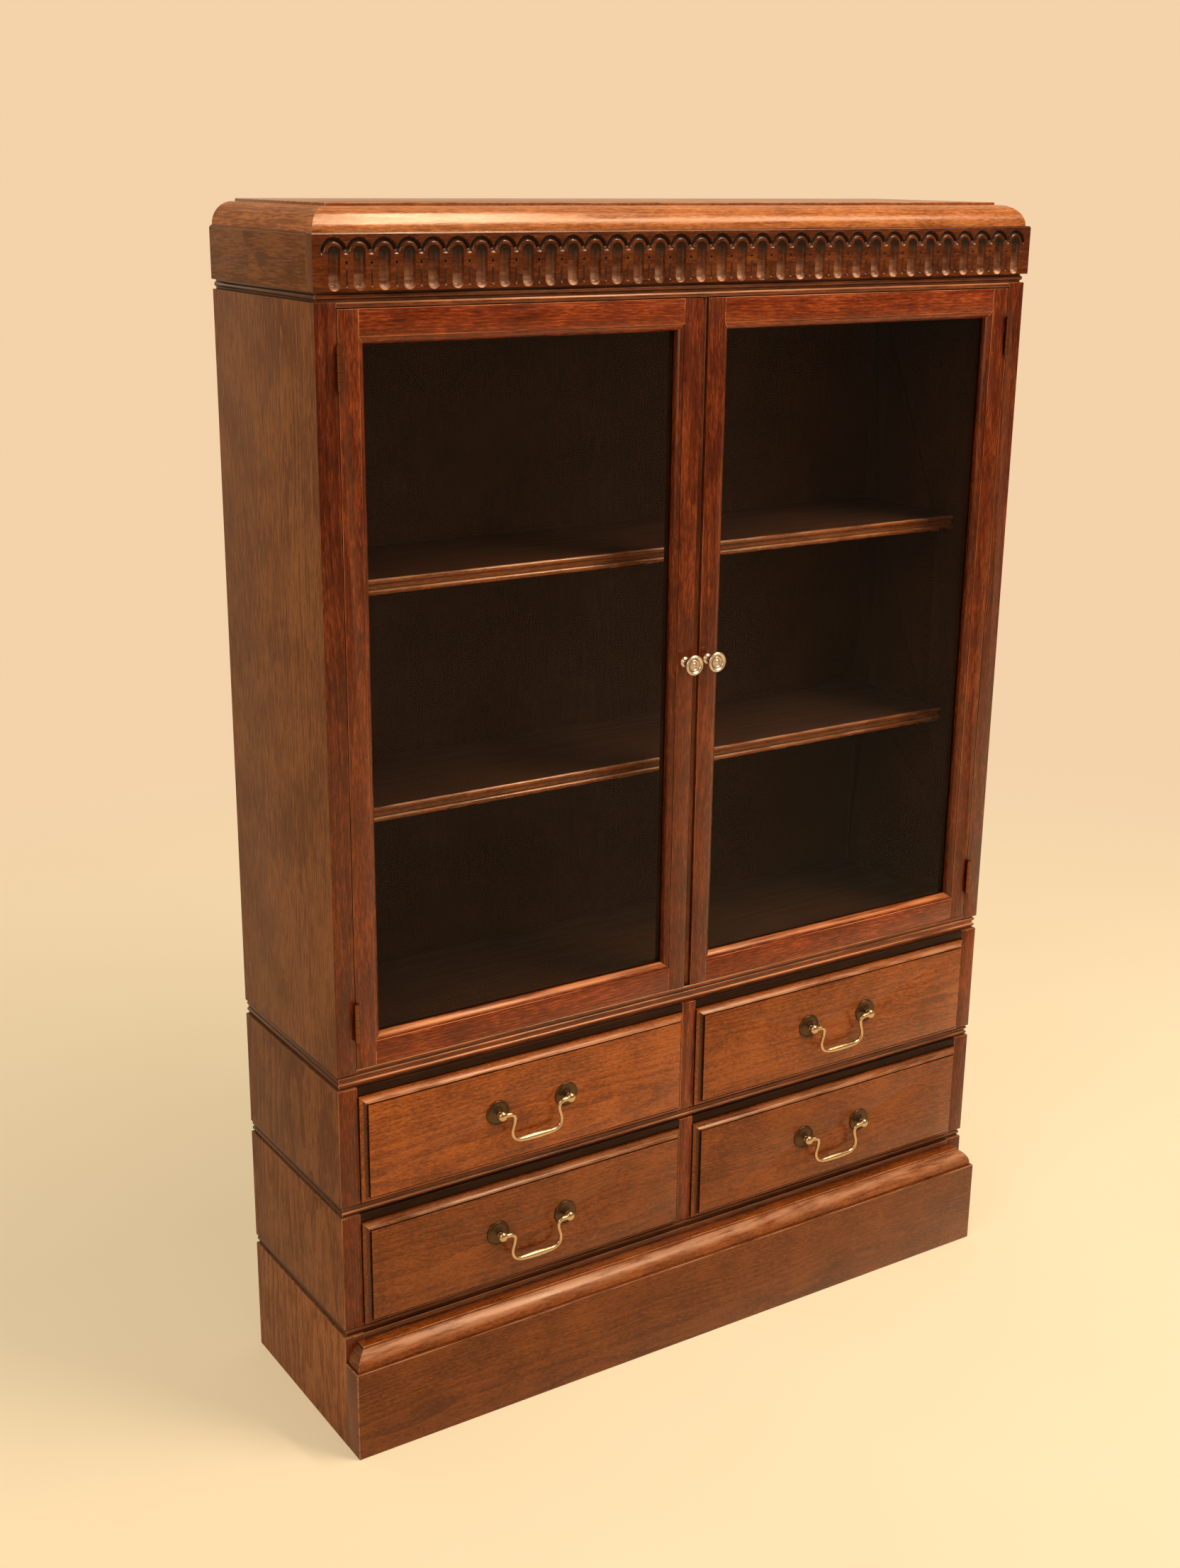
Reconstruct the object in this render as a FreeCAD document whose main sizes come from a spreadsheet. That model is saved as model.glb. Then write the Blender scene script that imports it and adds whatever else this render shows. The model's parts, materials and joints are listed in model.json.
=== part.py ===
import FreeCAD, Part
import math
import os
import re
import Sketcher

# A small oak bookcase: a cabinet with two glazed doors stands on two units of
# two drawers each, on a moulded plinth, under a cornice with a carved frieze.
# Millimetres. X runs along the front, Y from the front to the back, Z up.
# The origin lies on the floor, under the middle of the whole object.

sizes = {
    # The carcass
    "carcass_width": 840.0,
    "carcass_depth": 223.0,
    "side_thickness": 21.2,
    "back_thickness": 6.0,
    # The heights of its storeys, from the floor up
    "plinth_height": 128.4,
    "plinth_lid_thickness": 9.9,
    "drawer_unit_height": 126.8,
    "middle_board_thickness": 12.6,
    "base_board_thickness": 15.7,
    "cabinet_height": 733.0,
    "top_board_thickness": 9.1,
    "frieze_height": 49.4,
    # The reeded edges of the boards between the storeys
    "reed_inset": 1.5,
    "reed_proud": 1.8,
    "plinth_reed": 5.6,
    "middle_reed": 4.4,
    "base_reed": 4.4,
    "top_reed": 5.0,
    # The plinth
    "plinth_rail_thickness": 18.0,
    "plinth_board_proud": 26.3,
    "plinth_reveal": 7.4,
    "plinth_moulding_height": 20.8,
    "plinth_ledge": 3.2,
    "plinth_foot": 1.8,
    "plinth_ovolo_radius": 17.5,
    "plinth_ovolo_width": 11.3,
    # The drawer units
    "divider_thickness": 17.0,
    "unit_rail_height": 8.5,
    "unit_rail_depth": 18.0,
    # The drawers
    "drawer_side_gap": 0.8,
    "drawer_foot_gap": 1.2,
    "drawer_head_gap": 2.0,
    "drawer_proud": 8.5,
    "drawer_front_thickness": 20.5,
    "drawer_edge_drop": 6.5,
    "drawer_ovolo_width": 5.6,
    "drawer_ovolo_drop": 0.9,
    "drawer_ovolo_radius": 6.4,
    "drawer_groove_width": 1.2,
    "drawer_groove_depth": 2.4,
    "drawer_side_thickness": 9.0,
    "drawer_back_thickness": 8.0,
    "drawer_bottom_thickness": 5.0,
    "drawer_bottom_rise": 6.0,
    "drawer_side_height": 106.0,
    "drawer_running_gap": 0.4,
    "drawer_back_gap": 0.5,
    # The drawer handles
    "handle_spacing": 82.5,
    "handle_rise": 4.0,
    "rose_radius": 13.6,
    "rose_edge": 0.8,
    "rose_dome": 2.6,
    "rose_dome_radius": 38.0,
    "post_radius": 2.4,
    "post_reach": 10.0,
    "post_shank_radius": 2.0,
    "post_shank_length": 12.0,
    "ball_radius": 4.8,
    "bail_radius": 1.5,
    "bail_drop": 32.0,
    "bail_knee": 26.0,
    "bail_knee_radius": 4.5,
    "bail_corner_radius": 9.0,
    "bail_flare": 12.5,
    "grip_half_length": 16.0,
    "grip_radius": 2.8,
    "pivot_clearance": 0.05,
    "pivot_end_gap": 0.3,
    # The cabinet
    "back_rebate": 8.0,
    "sill_height": 4.0,
    "sill_nose": 1.2,
    "floor_thickness": 10.0,
    "head_height": 5.2,
    "head_thickness": 13.0,
    "shelf_thickness": 15.5,
    "shelf_reed": 5.2,
    "shelf_nose": 1.8,
    "shelf_sinking": 2.8,
    "shelf_setback": 63.0,
    "shelf_gap": 0.5,
    "shelf_lower_top": 245.6,
    "shelf_upper_top": 472.4,
    "peg_radius": 3.0,
    "peg_length": 18.0,
    "peg_seat": 8.0,
    "peg_margin": 25.0,
    "fit_gap": 0.1,
    # The doors
    "door_thickness": 20.0,
    "door_gap": 0.6,
    "door_stop_gap": 0.5,
    "hinge_gap": 1.0,
    "meeting_gap": 1.5,
    "hinge_stile_width": 20.5,
    "left_meeting_stile_width": 27.1,
    "right_meeting_stile_width": 19.8,
    "top_rail_width": 24.3,
    "bottom_rail_width": 25.3,
    "sticking_width": 6.5,
    "sticking_depth": 8.0,
    "sticking_fillet": 1.0,
    "sticking_quirk": 0.8,
    "sticking_radius": 6.6,
    "meeting_bead_width": 5.4,
    "meeting_quirk_width": 1.5,
    "meeting_quirk_depth": 2.5,
    "meeting_bead_drop": 1.0,
    "lip_depth": 9.0,
    "glass_thickness": 3.0,
    "glass_edge_gap": 0.5,
    "glazing_bead_depth": 6.0,
    # The knobs
    "knob_radius": 10.6,
    "knob_rim": 3.5,
    "knob_reach": 19.0,
    "knob_collar_radius": 5.6,
    "knob_collar": 1.6,
    "knob_neck_radius": 3.6,
    "knob_neck": 8.0,
    "knob_ring_radius": 7.0,
    "knob_ring_depth": 1.0,
    "knob_button_radius": 3.4,
    # The hinges
    "hinge_length": 38.0,
    "hinge_end_distance": 50.0,
    "leaf_thickness": 1.0,
    "leaf_width": 16.0,
    "knuckle_radius": 2.6,
    "knuckle_face_gap": 0.35,
    "knuckle_end_gap": 0.15,
    "hinge_pin_radius": 1.2,
    "hinge_pin_head": 1.2,
    "hinge_pin_head_radius": 2.3,
    # The cornice
    "frieze_front_overhang": 3.0,
    "frieze_side_overhang": 1.2,
    "frieze_front_thickness": 13.0,
    "frieze_bevel": 2.0,
    "flute_width": 11.2,
    "flute_foot": 1.4,
    "flute_head": 11.3,
    "flute_depth": 4.0,
    "flute_margin": 21.8,
    "cap_front_ledge": 5.2,
    "cap_side_ledge": 3.0,
    "cap_ovolo_radius": 21.2,
    "cap_flat": 3.0,
    "cap_edge": 2.7,
    "cap_frame_depth": 14.0,
    # How far a cutting outline runs past the stock
    "overrun": 5.0,
}

flute_count = 34
hinge_knuckles = 5

# Places and lengths worked out from the sizes. "front" is the carcass front.
places = {
    "front": "(plinth_board_proud - carcass_depth) / 2",
    "back": "front + carcass_depth",
    "half_width": "carcass_width / 2",
    "inner_half": "half_width - side_thickness",
    "plinth_board_height": "plinth_height - plinth_reveal - plinth_moulding_height",
    "lower_unit_bottom": "plinth_height + plinth_lid_thickness",
    "lower_unit_top": "lower_unit_bottom + drawer_unit_height",
    "upper_unit_bottom": "lower_unit_top + middle_board_thickness",
    "upper_unit_top": "upper_unit_bottom + drawer_unit_height",
    "cabinet_bottom": "upper_unit_top + base_board_thickness",
    "cabinet_top": "cabinet_bottom + cabinet_height",
    "frieze_bottom": "cabinet_top + top_board_thickness",
    "cap_bottom": "frieze_bottom + frieze_height",
    "quirk_inset": "reed_inset + reed_proud",
    "half_divider": "divider_thickness / 2",
    "drawer_opening": "inner_half - half_divider",
    "drawer_centre": "half_divider + drawer_opening / 2",
    "drawer_half": "drawer_opening / 2 - drawer_side_gap",
    "drawer_height": "drawer_unit_height - unit_rail_height - drawer_foot_gap - drawer_head_gap",
    "drawer_face": "front - drawer_proud",
    "drawer_front_back": "drawer_face + drawer_front_thickness",
    "drawer_box_back": "back - back_thickness - drawer_back_gap",
    "half_spacing": "handle_spacing / 2",
    "handle_height": "drawer_height / 2 + handle_rise",
    "door_height": "cabinet_height - sill_height - head_height - 2 * door_gap",
    "door_bottom": "cabinet_bottom + sill_height + door_gap",
    "door_edge": "inner_half - hinge_gap",
    "hinge_sight": "door_edge - hinge_stile_width",
    "bottom_sight": "bottom_rail_width",
    "top_sight": "door_height - top_rail_width",
    "pin_across": "inner_half - hinge_gap / 2",
    "pin_forward": "knuckle_radius + knuckle_face_gap",
    "knuckle_length": "hinge_length / %d" % hinge_knuckles,
    "bore_radius": "hinge_pin_radius + pivot_clearance",
    "frieze_half": "half_width + frieze_side_overhang",
    "frieze_face": "front - frieze_front_overhang",
    "frieze_depth": "carcass_depth + frieze_front_overhang",
    "flute_row": "2 * (frieze_half - flute_margin)",
    "cap_half": "frieze_half - cap_side_ledge",
    "cap_width": "cap_ovolo_radius + cap_flat",
    "knob_face": "knob_reach - knob_ring_depth",
}

document = FreeCAD.newDocument("bookcase")
sheet = document.addObject("Spreadsheet::Sheet", "sizes")
for row, (alias, number) in enumerate(sizes.items(), start=1):
    sheet.set("A%d" % row, alias)
    sheet.set("B%d" % row, str(number))
    sheet.setAlias("B%d" % row, alias)
document.recompute()

sub_parts = []


def formula(text):
    """Write a line of size names as an expression on the sheet's cells."""

    def swap(match):
        word = match.group()
        if word in places:
            return "(" + formula(places[word]) + ")"
        if word in sizes:
            return "sizes." + word
        return word

    return re.sub(r"[a-z_]+", swap, text)


def value(text):
    return float(sheet.evalExpression(formula(text)))


def bind(piece, path, text):
    piece.setExpression(path, formula(text))


def keep(piece, name):
    piece.Label = name
    sub_parts.append(piece)


def group(name, pieces):
    """Make one node of several separate solids."""
    compound = document.addObject("Part::Compound", name)
    compound.Links = pieces
    keep(compound, name)


def block(name, across, deep, high):
    """A plain board, given by its two limits each way."""
    board = document.addObject("Part::Box", name)
    for side, axis, limits in (("Length", "x", across), ("Width", "y", deep), ("Height", "z", high)):
        low, top = limits
        bind(board, side, "(%s) - (%s)" % (top, low))
        bind(board, "Placement.Base." + axis, low)
    return board


def mirrored_pair(name, across, deep, high):
    """Two equal boards, one each side of the middle."""
    low, top = across
    right = block(name + "_right", (low, top), deep, high)
    left = block(name + "_left", ("-(%s)" % top, "-(%s)" % low), deep, high)
    return [left, right]


def body_at(name, across, deep, high):
    body = document.addObject("PartDesign::Body", name)
    for axis, text in (("x", across), ("y", deep), ("z", high)):
        bind(body, "Placement.Base." + axis, text)
    return body


def empty_sketch(body, name, role):
    sketch = body.newObject("Sketcher::SketchObject", name)
    plane = [feature for feature in body.Origin.OriginFeatures if feature.Role == role][0]
    sketch.AttachmentSupport = (plane, [""])
    sketch.MapMode = "FlatFace"
    return sketch


def tie(sketch, kind, where, text):
    """Hold one sketch dimension to a formula."""
    index = sketch.addConstraint(Sketcher.Constraint(kind, *where, value(text)))
    bind(sketch, "Constraints[%d]" % index, text)


def arc_between(start, end, radius, turn):
    """The shorter arc from start to end; turn is 1 for anticlockwise, else -1."""
    across = end[0] - start[0]
    up = end[1] - start[1]
    chord = math.hypot(across, up)
    lift = turn * math.sqrt(radius ** 2 - (chord / 2) ** 2) / chord
    middle = ((start[0] + end[0]) / 2, (start[1] + end[1]) / 2)
    centre = FreeCAD.Vector(middle[0] - lift * up, middle[1] + lift * across, 0)
    angles = [math.atan2(point[1] - centre.y, point[0] - centre.x) for point in (start, end)]
    if turn < 0:
        angles.reverse()
    return Part.ArcOfCircle(Part.Circle(centre, FreeCAD.Vector(0, 0, 1), radius), *angles)


def draw(sketch, points, closed=True):
    """Draw an outline and hold every corner and radius to its formula.

    A point is (across, up), or (across, up, radius, turn) where an arc leads to it.
    """
    count = len(points)
    first = sketch.GeometryCount
    corners = [(value(point[0]), value(point[1])) for point in points]
    starts = []
    ends = []
    for index in range(count if closed else count - 1):
        following = (index + 1) % count
        start = corners[index]
        end = corners[following]
        arc = points[following][2:]
        if arc:
            sketch.addGeometry(arc_between(start, end, value(arc[0]), arc[1]))
            starts.append(1 if arc[1] > 0 else 2)
        else:
            sketch.addGeometry(Part.LineSegment(FreeCAD.Vector(*start, 0), FreeCAD.Vector(*end, 0)))
            starts.append(1)
        ends.append(3 - starts[-1])
    edges = len(starts)
    for index in range(edges if closed else edges - 1):
        following = (index + 1) % edges
        join = (first + index, ends[index], first + following, starts[following])
        sketch.addConstraint(Sketcher.Constraint("Coincident", *join))
    for index, point in enumerate(points):
        held = (first + index, starts[index]) if index < edges else (first + edges - 1, ends[-1])
        tie(sketch, "DistanceX", (-1, 1) + held, point[0])
        tie(sketch, "DistanceY", (-1, 1) + held, point[1])
        arc = point[2:]
        if arc:
            tie(sketch, "Radius", (first + (index - 1) % count,), arc[0])


def outline(body, name, role, *loops):
    sketch = empty_sketch(body, name, role)
    for points in loops:
        draw(sketch, points)
    return sketch


def circles(body, name, role, *rounds):
    """Draw circles, each given as (across, up, radius)."""
    sketch = empty_sketch(body, name, role)
    for index, (across, up, radius) in enumerate(rounds):
        centre = FreeCAD.Vector(value(across), value(up), 0)
        sketch.addGeometry(Part.Circle(centre, FreeCAD.Vector(0, 0, 1), value(radius)))
        tie(sketch, "DistanceX", (-1, 1, index, 3), across)
        tie(sketch, "DistanceY", (-1, 1, index, 3), up)
        tie(sketch, "Radius", (index,), radius)
    return sketch


def rectangle(across, up):
    return [(across[0], up[0]), (across[1], up[0]), (across[1], up[1]), (across[0], up[1])]


def pad(body, name, sketch, length, back=False, middle=False):
    feature = body.newObject("PartDesign::Pad", name)
    feature.Profile = sketch
    feature.Reversed = back
    feature.Midplane = middle
    bind(feature, "Length", length)
    return feature


def cut_through(body, name, sketch):
    """Cut the sketch right through the body, both ways from its plane."""
    feature = body.newObject("PartDesign::Pocket", name)
    feature.Profile = sketch
    feature.Type = "ThroughAll"
    feature.Midplane = True


def cut_deep(body, name, sketch, depth, back=False):
    feature = body.newObject("PartDesign::Pocket", name)
    feature.Profile = sketch
    feature.Reversed = back
    bind(feature, "Length", depth)
    return feature


def revolve(body, name, sketch, axis):
    feature = body.newObject("PartDesign::Revolution", name)
    feature.Profile = sketch
    feature.ReferenceAxis = (sketch, [axis])
    feature.Angle = 360
    return feature


def flip(points, hand):
    """Turn an outline over left to right where hand is -1."""
    if hand > 0:
        return points
    flipped = []
    for point in points:
        flipped.append(("-(%s)" % point[0], point[1]) + point[2:3] + tuple(-turn for turn in point[3:]))
    return flipped


def cut_along(body, name, role, profile, edge, inward, swapped=False):
    """Cut a closed profile of (inset, level, radius, turn) points along one edge.

    inward is 1 where the inset grows along the sketch's axis, and swapped puts
    the inset on the sketch's second axis.
    """
    loop = []
    for point in profile:
        place = "(%s) %s (%s)" % (edge, "+" if inward > 0 else "-", point[0])
        pair = (point[1], place) if swapped else (place, point[1])
        turn = tuple(side * inward * (-1 if swapped else 1) for side in point[3:])
        loop.append(pair + point[2:3] + turn)
    cut_through(body, name, outline(body, name + "_profile", role, loop))


def run_moulding(body, name, role, profile, edge, inward):
    """Run a moulding along one edge of a body: all beyond the profile is cut away."""
    waste = [("-overrun", profile[0][1])] + profile + [("-overrun", profile[-1][1])]
    cut_along(body, name, role, waste, edge, inward)


def segment_radius(chord, rise):
    """The radius of a shallow round over a chord."""
    return "((%s)^2 / 4 + (%s)^2) / (2 * (%s))" % (chord, rise, rise)


# The boards between the storeys. Their front and end edges carry small half
# rounds, called reeds, with a narrow sunk line above and below each.

def reeded_profile(thickness, reed, count):
    quirk = "(%s - %d * %s) / %d" % (thickness, count, reed, count + 1)
    radius = segment_radius(reed, "reed_proud")
    profile = [("quirk_inset", "-overrun")]
    for index in range(count):
        start = "%d * (%s) + %d * %s" % (index + 1, quirk, index, reed)
        profile.append(("quirk_inset", start))
        profile.append(("quirk_inset", start + " + " + reed, radius, -1))
    profile.append(("quirk_inset", thickness + " + overrun"))
    return profile


def reeded_board(name, level, thickness, reed, count):
    body = body_at(name, "0", "front", level)
    board = rectangle(("-half_width", "half_width"), ("0", "carcass_depth"))
    pad(body, name + "_board", outline(body, name + "_plan", "XY_Plane", board), thickness)
    profile = reeded_profile(thickness, reed, count)
    run_moulding(body, name + "_front", "YZ_Plane", profile, "0", 1)
    run_moulding(body, name + "_left", "XZ_Plane", profile, "-half_width", 1)
    run_moulding(body, name + "_right", "XZ_Plane", profile, "half_width", -1)
    keep(body, name)


# The plinth

def plinth_sides():
    across = ("inner_half", "half_width")
    group("plinth_sides", mirrored_pair("plinth_side", across, ("front", "back"), ("0", "plinth_height")))


def plinth_rails():
    between = ("-inner_half", "inner_half")
    height = ("0", "plinth_height")
    front_rail = block("plinth_rail_front", between, ("front", "front + plinth_rail_thickness"), height)
    back_rail = block("plinth_rail_back", between, ("back - plinth_rail_thickness", "back"), height)
    group("plinth_rails", [front_rail, back_rail])


def plinth_front_board():
    board = block(
        "plinth_front_board",
        ("-half_width", "half_width"),
        ("front - plinth_board_proud", "front"),
        ("0", "plinth_board_height"),
    )
    keep(board, "plinth_front_board")


def plinth_moulding():
    # A rounded moulding on the front board, with a narrow ledge left in front
    # of it and at both ends, and a small square step at its top.
    name = "plinth_moulding"
    body = body_at(name, "0", "front", "plinth_board_height")
    stock = rectangle(("-half_width", "half_width"), ("-plinth_board_proud", "0"))
    pad(body, name + "_stock", outline(body, name + "_plan", "XY_Plane", stock), "plinth_moulding_height")
    rise = "sqrt(plinth_ovolo_radius^2 - (plinth_ovolo_radius - plinth_ovolo_width)^2)"
    step = "plinth_ledge + plinth_ovolo_width"
    profile = [
        ("plinth_ledge", "-overrun"),
        ("plinth_ledge", "plinth_foot"),
        (step, "plinth_foot + " + rise, "plinth_ovolo_radius", -1),
        (step, "plinth_moulding_height + overrun"),
    ]
    run_moulding(body, name + "_front", "YZ_Plane", profile, "-plinth_board_proud", 1)
    run_moulding(body, name + "_left", "XZ_Plane", profile, "-half_width", 1)
    run_moulding(body, name + "_right", "XZ_Plane", profile, "half_width", -1)
    keep(body, name)


# The two drawer units

def drawer_unit(storey):
    level = storey + "_unit_bottom"
    height = (level, storey + "_unit_top")
    depth = ("front", "back")
    inside_depth = ("front", "back - back_thickness")
    sides = mirrored_pair(storey + "_unit_side", ("inner_half", "half_width"), depth, height)
    group(storey + "_unit_sides", sides)
    divider = block(storey + "_unit_divider", ("-half_divider", "half_divider"), inside_depth, height)
    keep(divider, storey + "_unit_divider")
    rails = mirrored_pair(
        storey + "_unit_rail",
        ("half_divider", "inner_half"),
        ("front", "front + unit_rail_depth"),
        (storey + "_unit_top - unit_rail_height", storey + "_unit_top"),
    )
    group(storey + "_unit_rails", rails)
    panel_depth = ("back - back_thickness", "back")
    panel = block(storey + "_unit_back", ("-inner_half", "inner_half"), panel_depth, height)
    keep(panel, storey + "_unit_back")


# The drawers. Each has a lipless front with a moulded edge, a box behind it
# that rides on the board below, two roses with ball-headed posts and a bail.

def drawer_front(name, middle, bottom):
    body = body_at(name, middle, "drawer_face", bottom + " + drawer_foot_gap")
    face = rectangle(("-drawer_half", "drawer_half"), ("0", "drawer_height"))
    elevation = outline(body, name + "_elevation", "XZ_Plane", face)
    pad(body, name + "_board", elevation, "drawer_front_thickness", back=True)
    flat = "drawer_ovolo_width + drawer_groove_width"
    profile = [
        ("-overrun", "-overrun"),
        ("-overrun", "drawer_edge_drop"),
        ("0", "drawer_edge_drop"),
        ("drawer_ovolo_width", "drawer_ovolo_drop", "drawer_ovolo_radius", -1),
        ("drawer_ovolo_width", "drawer_groove_depth"),
        (flat, "drawer_groove_depth"),
        (flat, "-overrun"),
    ]
    cut_edges(body, name, profile)
    shanks = []
    for hand in (-1, 1):
        shanks.append(("%d * half_spacing" % hand, "handle_height", "post_shank_radius + fit_gap"))
    holes = circles(body, name + "_shank_circles", "XZ_Plane", *shanks)
    cut_deep(body, name + "_shank_holes", holes, "post_shank_length + fit_gap")
    keep(body, name)


def cut_edges(body, name, profile):
    """Run one moulding round the four edges of a drawer front."""
    for side, inward in (("left", 1), ("right", -1)):
        edge = "%d * drawer_half" % -inward
        cut_along(body, "%s_%s" % (name, side), "XY_Plane", profile, edge, inward)
    for side, edge, inward in (("bottom", "0", 1), ("top", "drawer_height", -1)):
        cut_along(body, "%s_%s" % (name, side), "YZ_Plane", profile, edge, inward, True)


def drawer_box(name, middle, bottom):
    low = bottom + " + drawer_running_gap"
    depth = ("drawer_front_back", "drawer_box_back")
    height = (low, low + " + drawer_side_height")
    inside = "drawer_half - drawer_side_thickness"
    between = ("%s - (%s)" % (middle, inside), "%s + %s" % (middle, inside))
    left = block(name + "_left", (middle + " - drawer_half", between[0]), depth, height)
    right = block(name + "_right", (between[1], middle + " + drawer_half"), depth, height)
    board_face = "drawer_box_back - drawer_back_thickness"
    back_board = block(name + "_back", between, (board_face, "drawer_box_back"), height)
    floor = low + " + drawer_bottom_rise"
    bottom_board = block(
        name + "_bottom",
        between,
        ("drawer_front_back", board_face),
        (floor, floor + " + drawer_bottom_thickness"),
    )
    group(name, [left, right, back_board, bottom_board])


def handle_rose(name, across, high):
    # A shallow domed disc with a hole for the post.
    body = body_at(name, across, "drawer_face", high)
    section = [
        ("post_radius", "0"),
        ("rose_radius", "0"),
        ("rose_radius", "-rose_edge"),
        ("post_radius", "-rose_dome", "rose_dome_radius", -1),
    ]
    revolve(body, name + "_dome", outline(body, name + "_section", "XY_Plane", section), "V_Axis")
    return body


def handle_post(name, across, high, hand):
    # The shank enters the drawer front, the neck passes through the rose and
    # the ball takes one end of the bail from the inner side.
    body = body_at(name, across, "drawer_face", high)
    waist = "sqrt(ball_radius^2 - post_radius^2)"
    section = [
        ("0", "post_shank_length"),
        ("post_shank_radius", "post_shank_length"),
        ("post_shank_radius", "0"),
        ("post_radius", "0"),
        ("post_radius", "%s - post_reach" % waist),
        ("ball_radius", "-post_reach", "ball_radius", -1),
        ("0", "-post_reach - ball_radius", "ball_radius", -1),
    ]
    revolve(body, name + "_turning", outline(body, name + "_section", "XY_Plane", section), "V_Axis")
    hole = ("-post_reach", "0", "bail_radius + pivot_clearance")
    bore = circles(body, name + "_bore_circle", "YZ_Plane", hole)
    cut_deep(body, name + "_bore", bore, "ball_radius + overrun", back=hand < 0)
    return body


def handle_mounts(name, middle, high):
    pieces = []
    for side, hand in (("left", -1), ("right", 1)):
        across = "%s + (%d * half_spacing)" % (middle, hand)
        pieces.append(handle_rose("%s_rose_%s" % (name, side), across, high))
        pieces.append(handle_post("%s_post_%s" % (name, side), across, high, hand))
    group(name, pieces)


def bail_path():
    """The left half of the bail's centre line, from its end to the middle."""
    turned = "(1 + sin(bail_flare))"
    centre = "(bail_knee + bail_knee_radius)"
    knee_across = "-%s + bail_knee_radius * cos(bail_flare)" % centre
    leg = "(bail_drop - (bail_knee_radius + bail_corner_radius) * %s)" % turned
    corner_across = "%s - tan(bail_flare) * %s" % (knee_across, leg)
    return [
        ("-(half_spacing - pivot_end_gap)", "0"),
        ("-" + centre, "0"),
        (knee_across, "-bail_knee_radius * " + turned, "bail_knee_radius", -1),
        (corner_across, "-bail_drop + bail_corner_radius * " + turned),
        (corner_across + " + bail_corner_radius * cos(bail_flare)", "-bail_drop", "bail_corner_radius", 1),
    ]


def handle_bail(name, middle, high):
    # A swan-necked wire that hangs from the two balls, thicker at the grip.
    body = body_at(name, middle, "drawer_face - post_reach", high)
    half = bail_path()
    other = [flip([point[:2]], -1)[0] for point in reversed(half)]
    arcs = [point[2:] for point in reversed(half)]
    for index in range(1, len(other)):
        other[index] = other[index] + arcs[index - 1]
    path = empty_sketch(body, name + "_path", "XZ_Plane")
    draw(path, half + other, closed=False)
    wire = circles(body, name + "_wire", "YZ_Plane", ("0", "0", "bail_radius"))
    bind(wire, "AttachmentOffset.Base.z", "-(half_spacing - pivot_end_gap)")
    pipe = body.newObject("PartDesign::AdditivePipe", name + "_bar")
    pipe.Profile = wire
    pipe.Spine = path
    pipe.Mode = "Standard"
    swelling = segment_radius("2 * grip_half_length", "grip_radius")
    grip = outline(
        body,
        name + "_grip_outline",
        "XZ_Plane",
        [("-grip_half_length", "0"), ("grip_half_length", "0", swelling, -1)],
    )
    bind(grip, "AttachmentOffset.Base.y", "-bail_drop")
    revolve(body, name + "_grip", grip, "H_Axis")
    keep(body, name)


def drawer(storey, side, hand):
    name = "drawer_%s_%s" % (storey, side)
    middle = "(%d * drawer_centre)" % hand
    bottom = storey + "_unit_bottom"
    high = bottom + " + drawer_foot_gap + handle_height"
    drawer_front(name + "_front", middle, bottom)
    drawer_box(name + "_box", middle, bottom)
    handle_mounts(name + "_handle_mounts", middle, high)
    handle_bail(name + "_bail", middle, high)


# The cabinet. Sizes across are given for the right-hand side; hand is -1 for
# the left. Sketches on the side panels start from their inner faces.

def hinge_levels():
    """The lower ends of the two hinges of a door, above the cabinet's bottom."""
    low = "sill_height + door_gap + hinge_end_distance - hinge_length / 2"
    high = "sill_height + door_gap + door_height - hinge_end_distance - hinge_length / 2"
    return [low, high]


def peg_places():
    """Where the four pegs of one side sit: (from the front, above the cabinet's bottom)."""
    rows = []
    for shelf_top in ("shelf_lower_top", "shelf_upper_top"):
        level = shelf_top + " - shelf_thickness - peg_radius"
        rows.append(("shelf_setback + peg_margin", level))
        rows.append(("carcass_depth - back_thickness - peg_margin", level))
    return rows


def cabinet_side(side, hand):
    name = "cabinet_side_" + side
    body = body_at(name, "%d * inner_half" % hand, "front", "cabinet_bottom")
    panel = [
        ("0", "0"),
        ("side_thickness", "0"),
        ("side_thickness", "carcass_depth"),
        ("back_rebate", "carcass_depth"),
        ("back_rebate", "carcass_depth - back_thickness"),
        ("0", "carcass_depth - back_thickness"),
    ]
    plan = outline(body, name + "_plan", "XY_Plane", flip(panel, hand))
    pad(body, name + "_panel", plan, "cabinet_height")
    recesses = []
    for level in hinge_levels():
        height = (level + " - fit_gap", level + " + hinge_length + fit_gap")
        recesses.append(rectangle(("-overrun", "leaf_width + fit_gap"), height))
    leaf_plan = outline(body, name + "_leaf_outlines", "YZ_Plane", *recesses)
    cut_deep(body, name + "_leaf_recesses", leaf_plan, "leaf_thickness", back=hand > 0)
    rounds = [(deep, high, "peg_radius + fit_gap") for deep, high in peg_places()]
    holes = circles(body, name + "_peg_circles", "YZ_Plane", *rounds)
    cut_deep(body, name + "_peg_holes", holes, "peg_seat + fit_gap", back=hand > 0)
    keep(body, name)


def cabinet_back():
    edge = "inner_half + back_rebate"
    depth = ("back - back_thickness", "back")
    panel = block("cabinet_back", ("-(%s)" % edge, edge), depth, ("cabinet_bottom", "cabinet_top"))
    keep(panel, "cabinet_back")


def crosswise_board(name, level, half_length, section):
    """A board with one section all along, centred on the middle."""
    body = body_at(name, "0", "front", level)
    sketch = outline(body, name + "_section", "YZ_Plane", section)
    pad(body, name + "_board", sketch, "2 * (%s)" % half_length, middle=True)
    keep(body, name)


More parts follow.
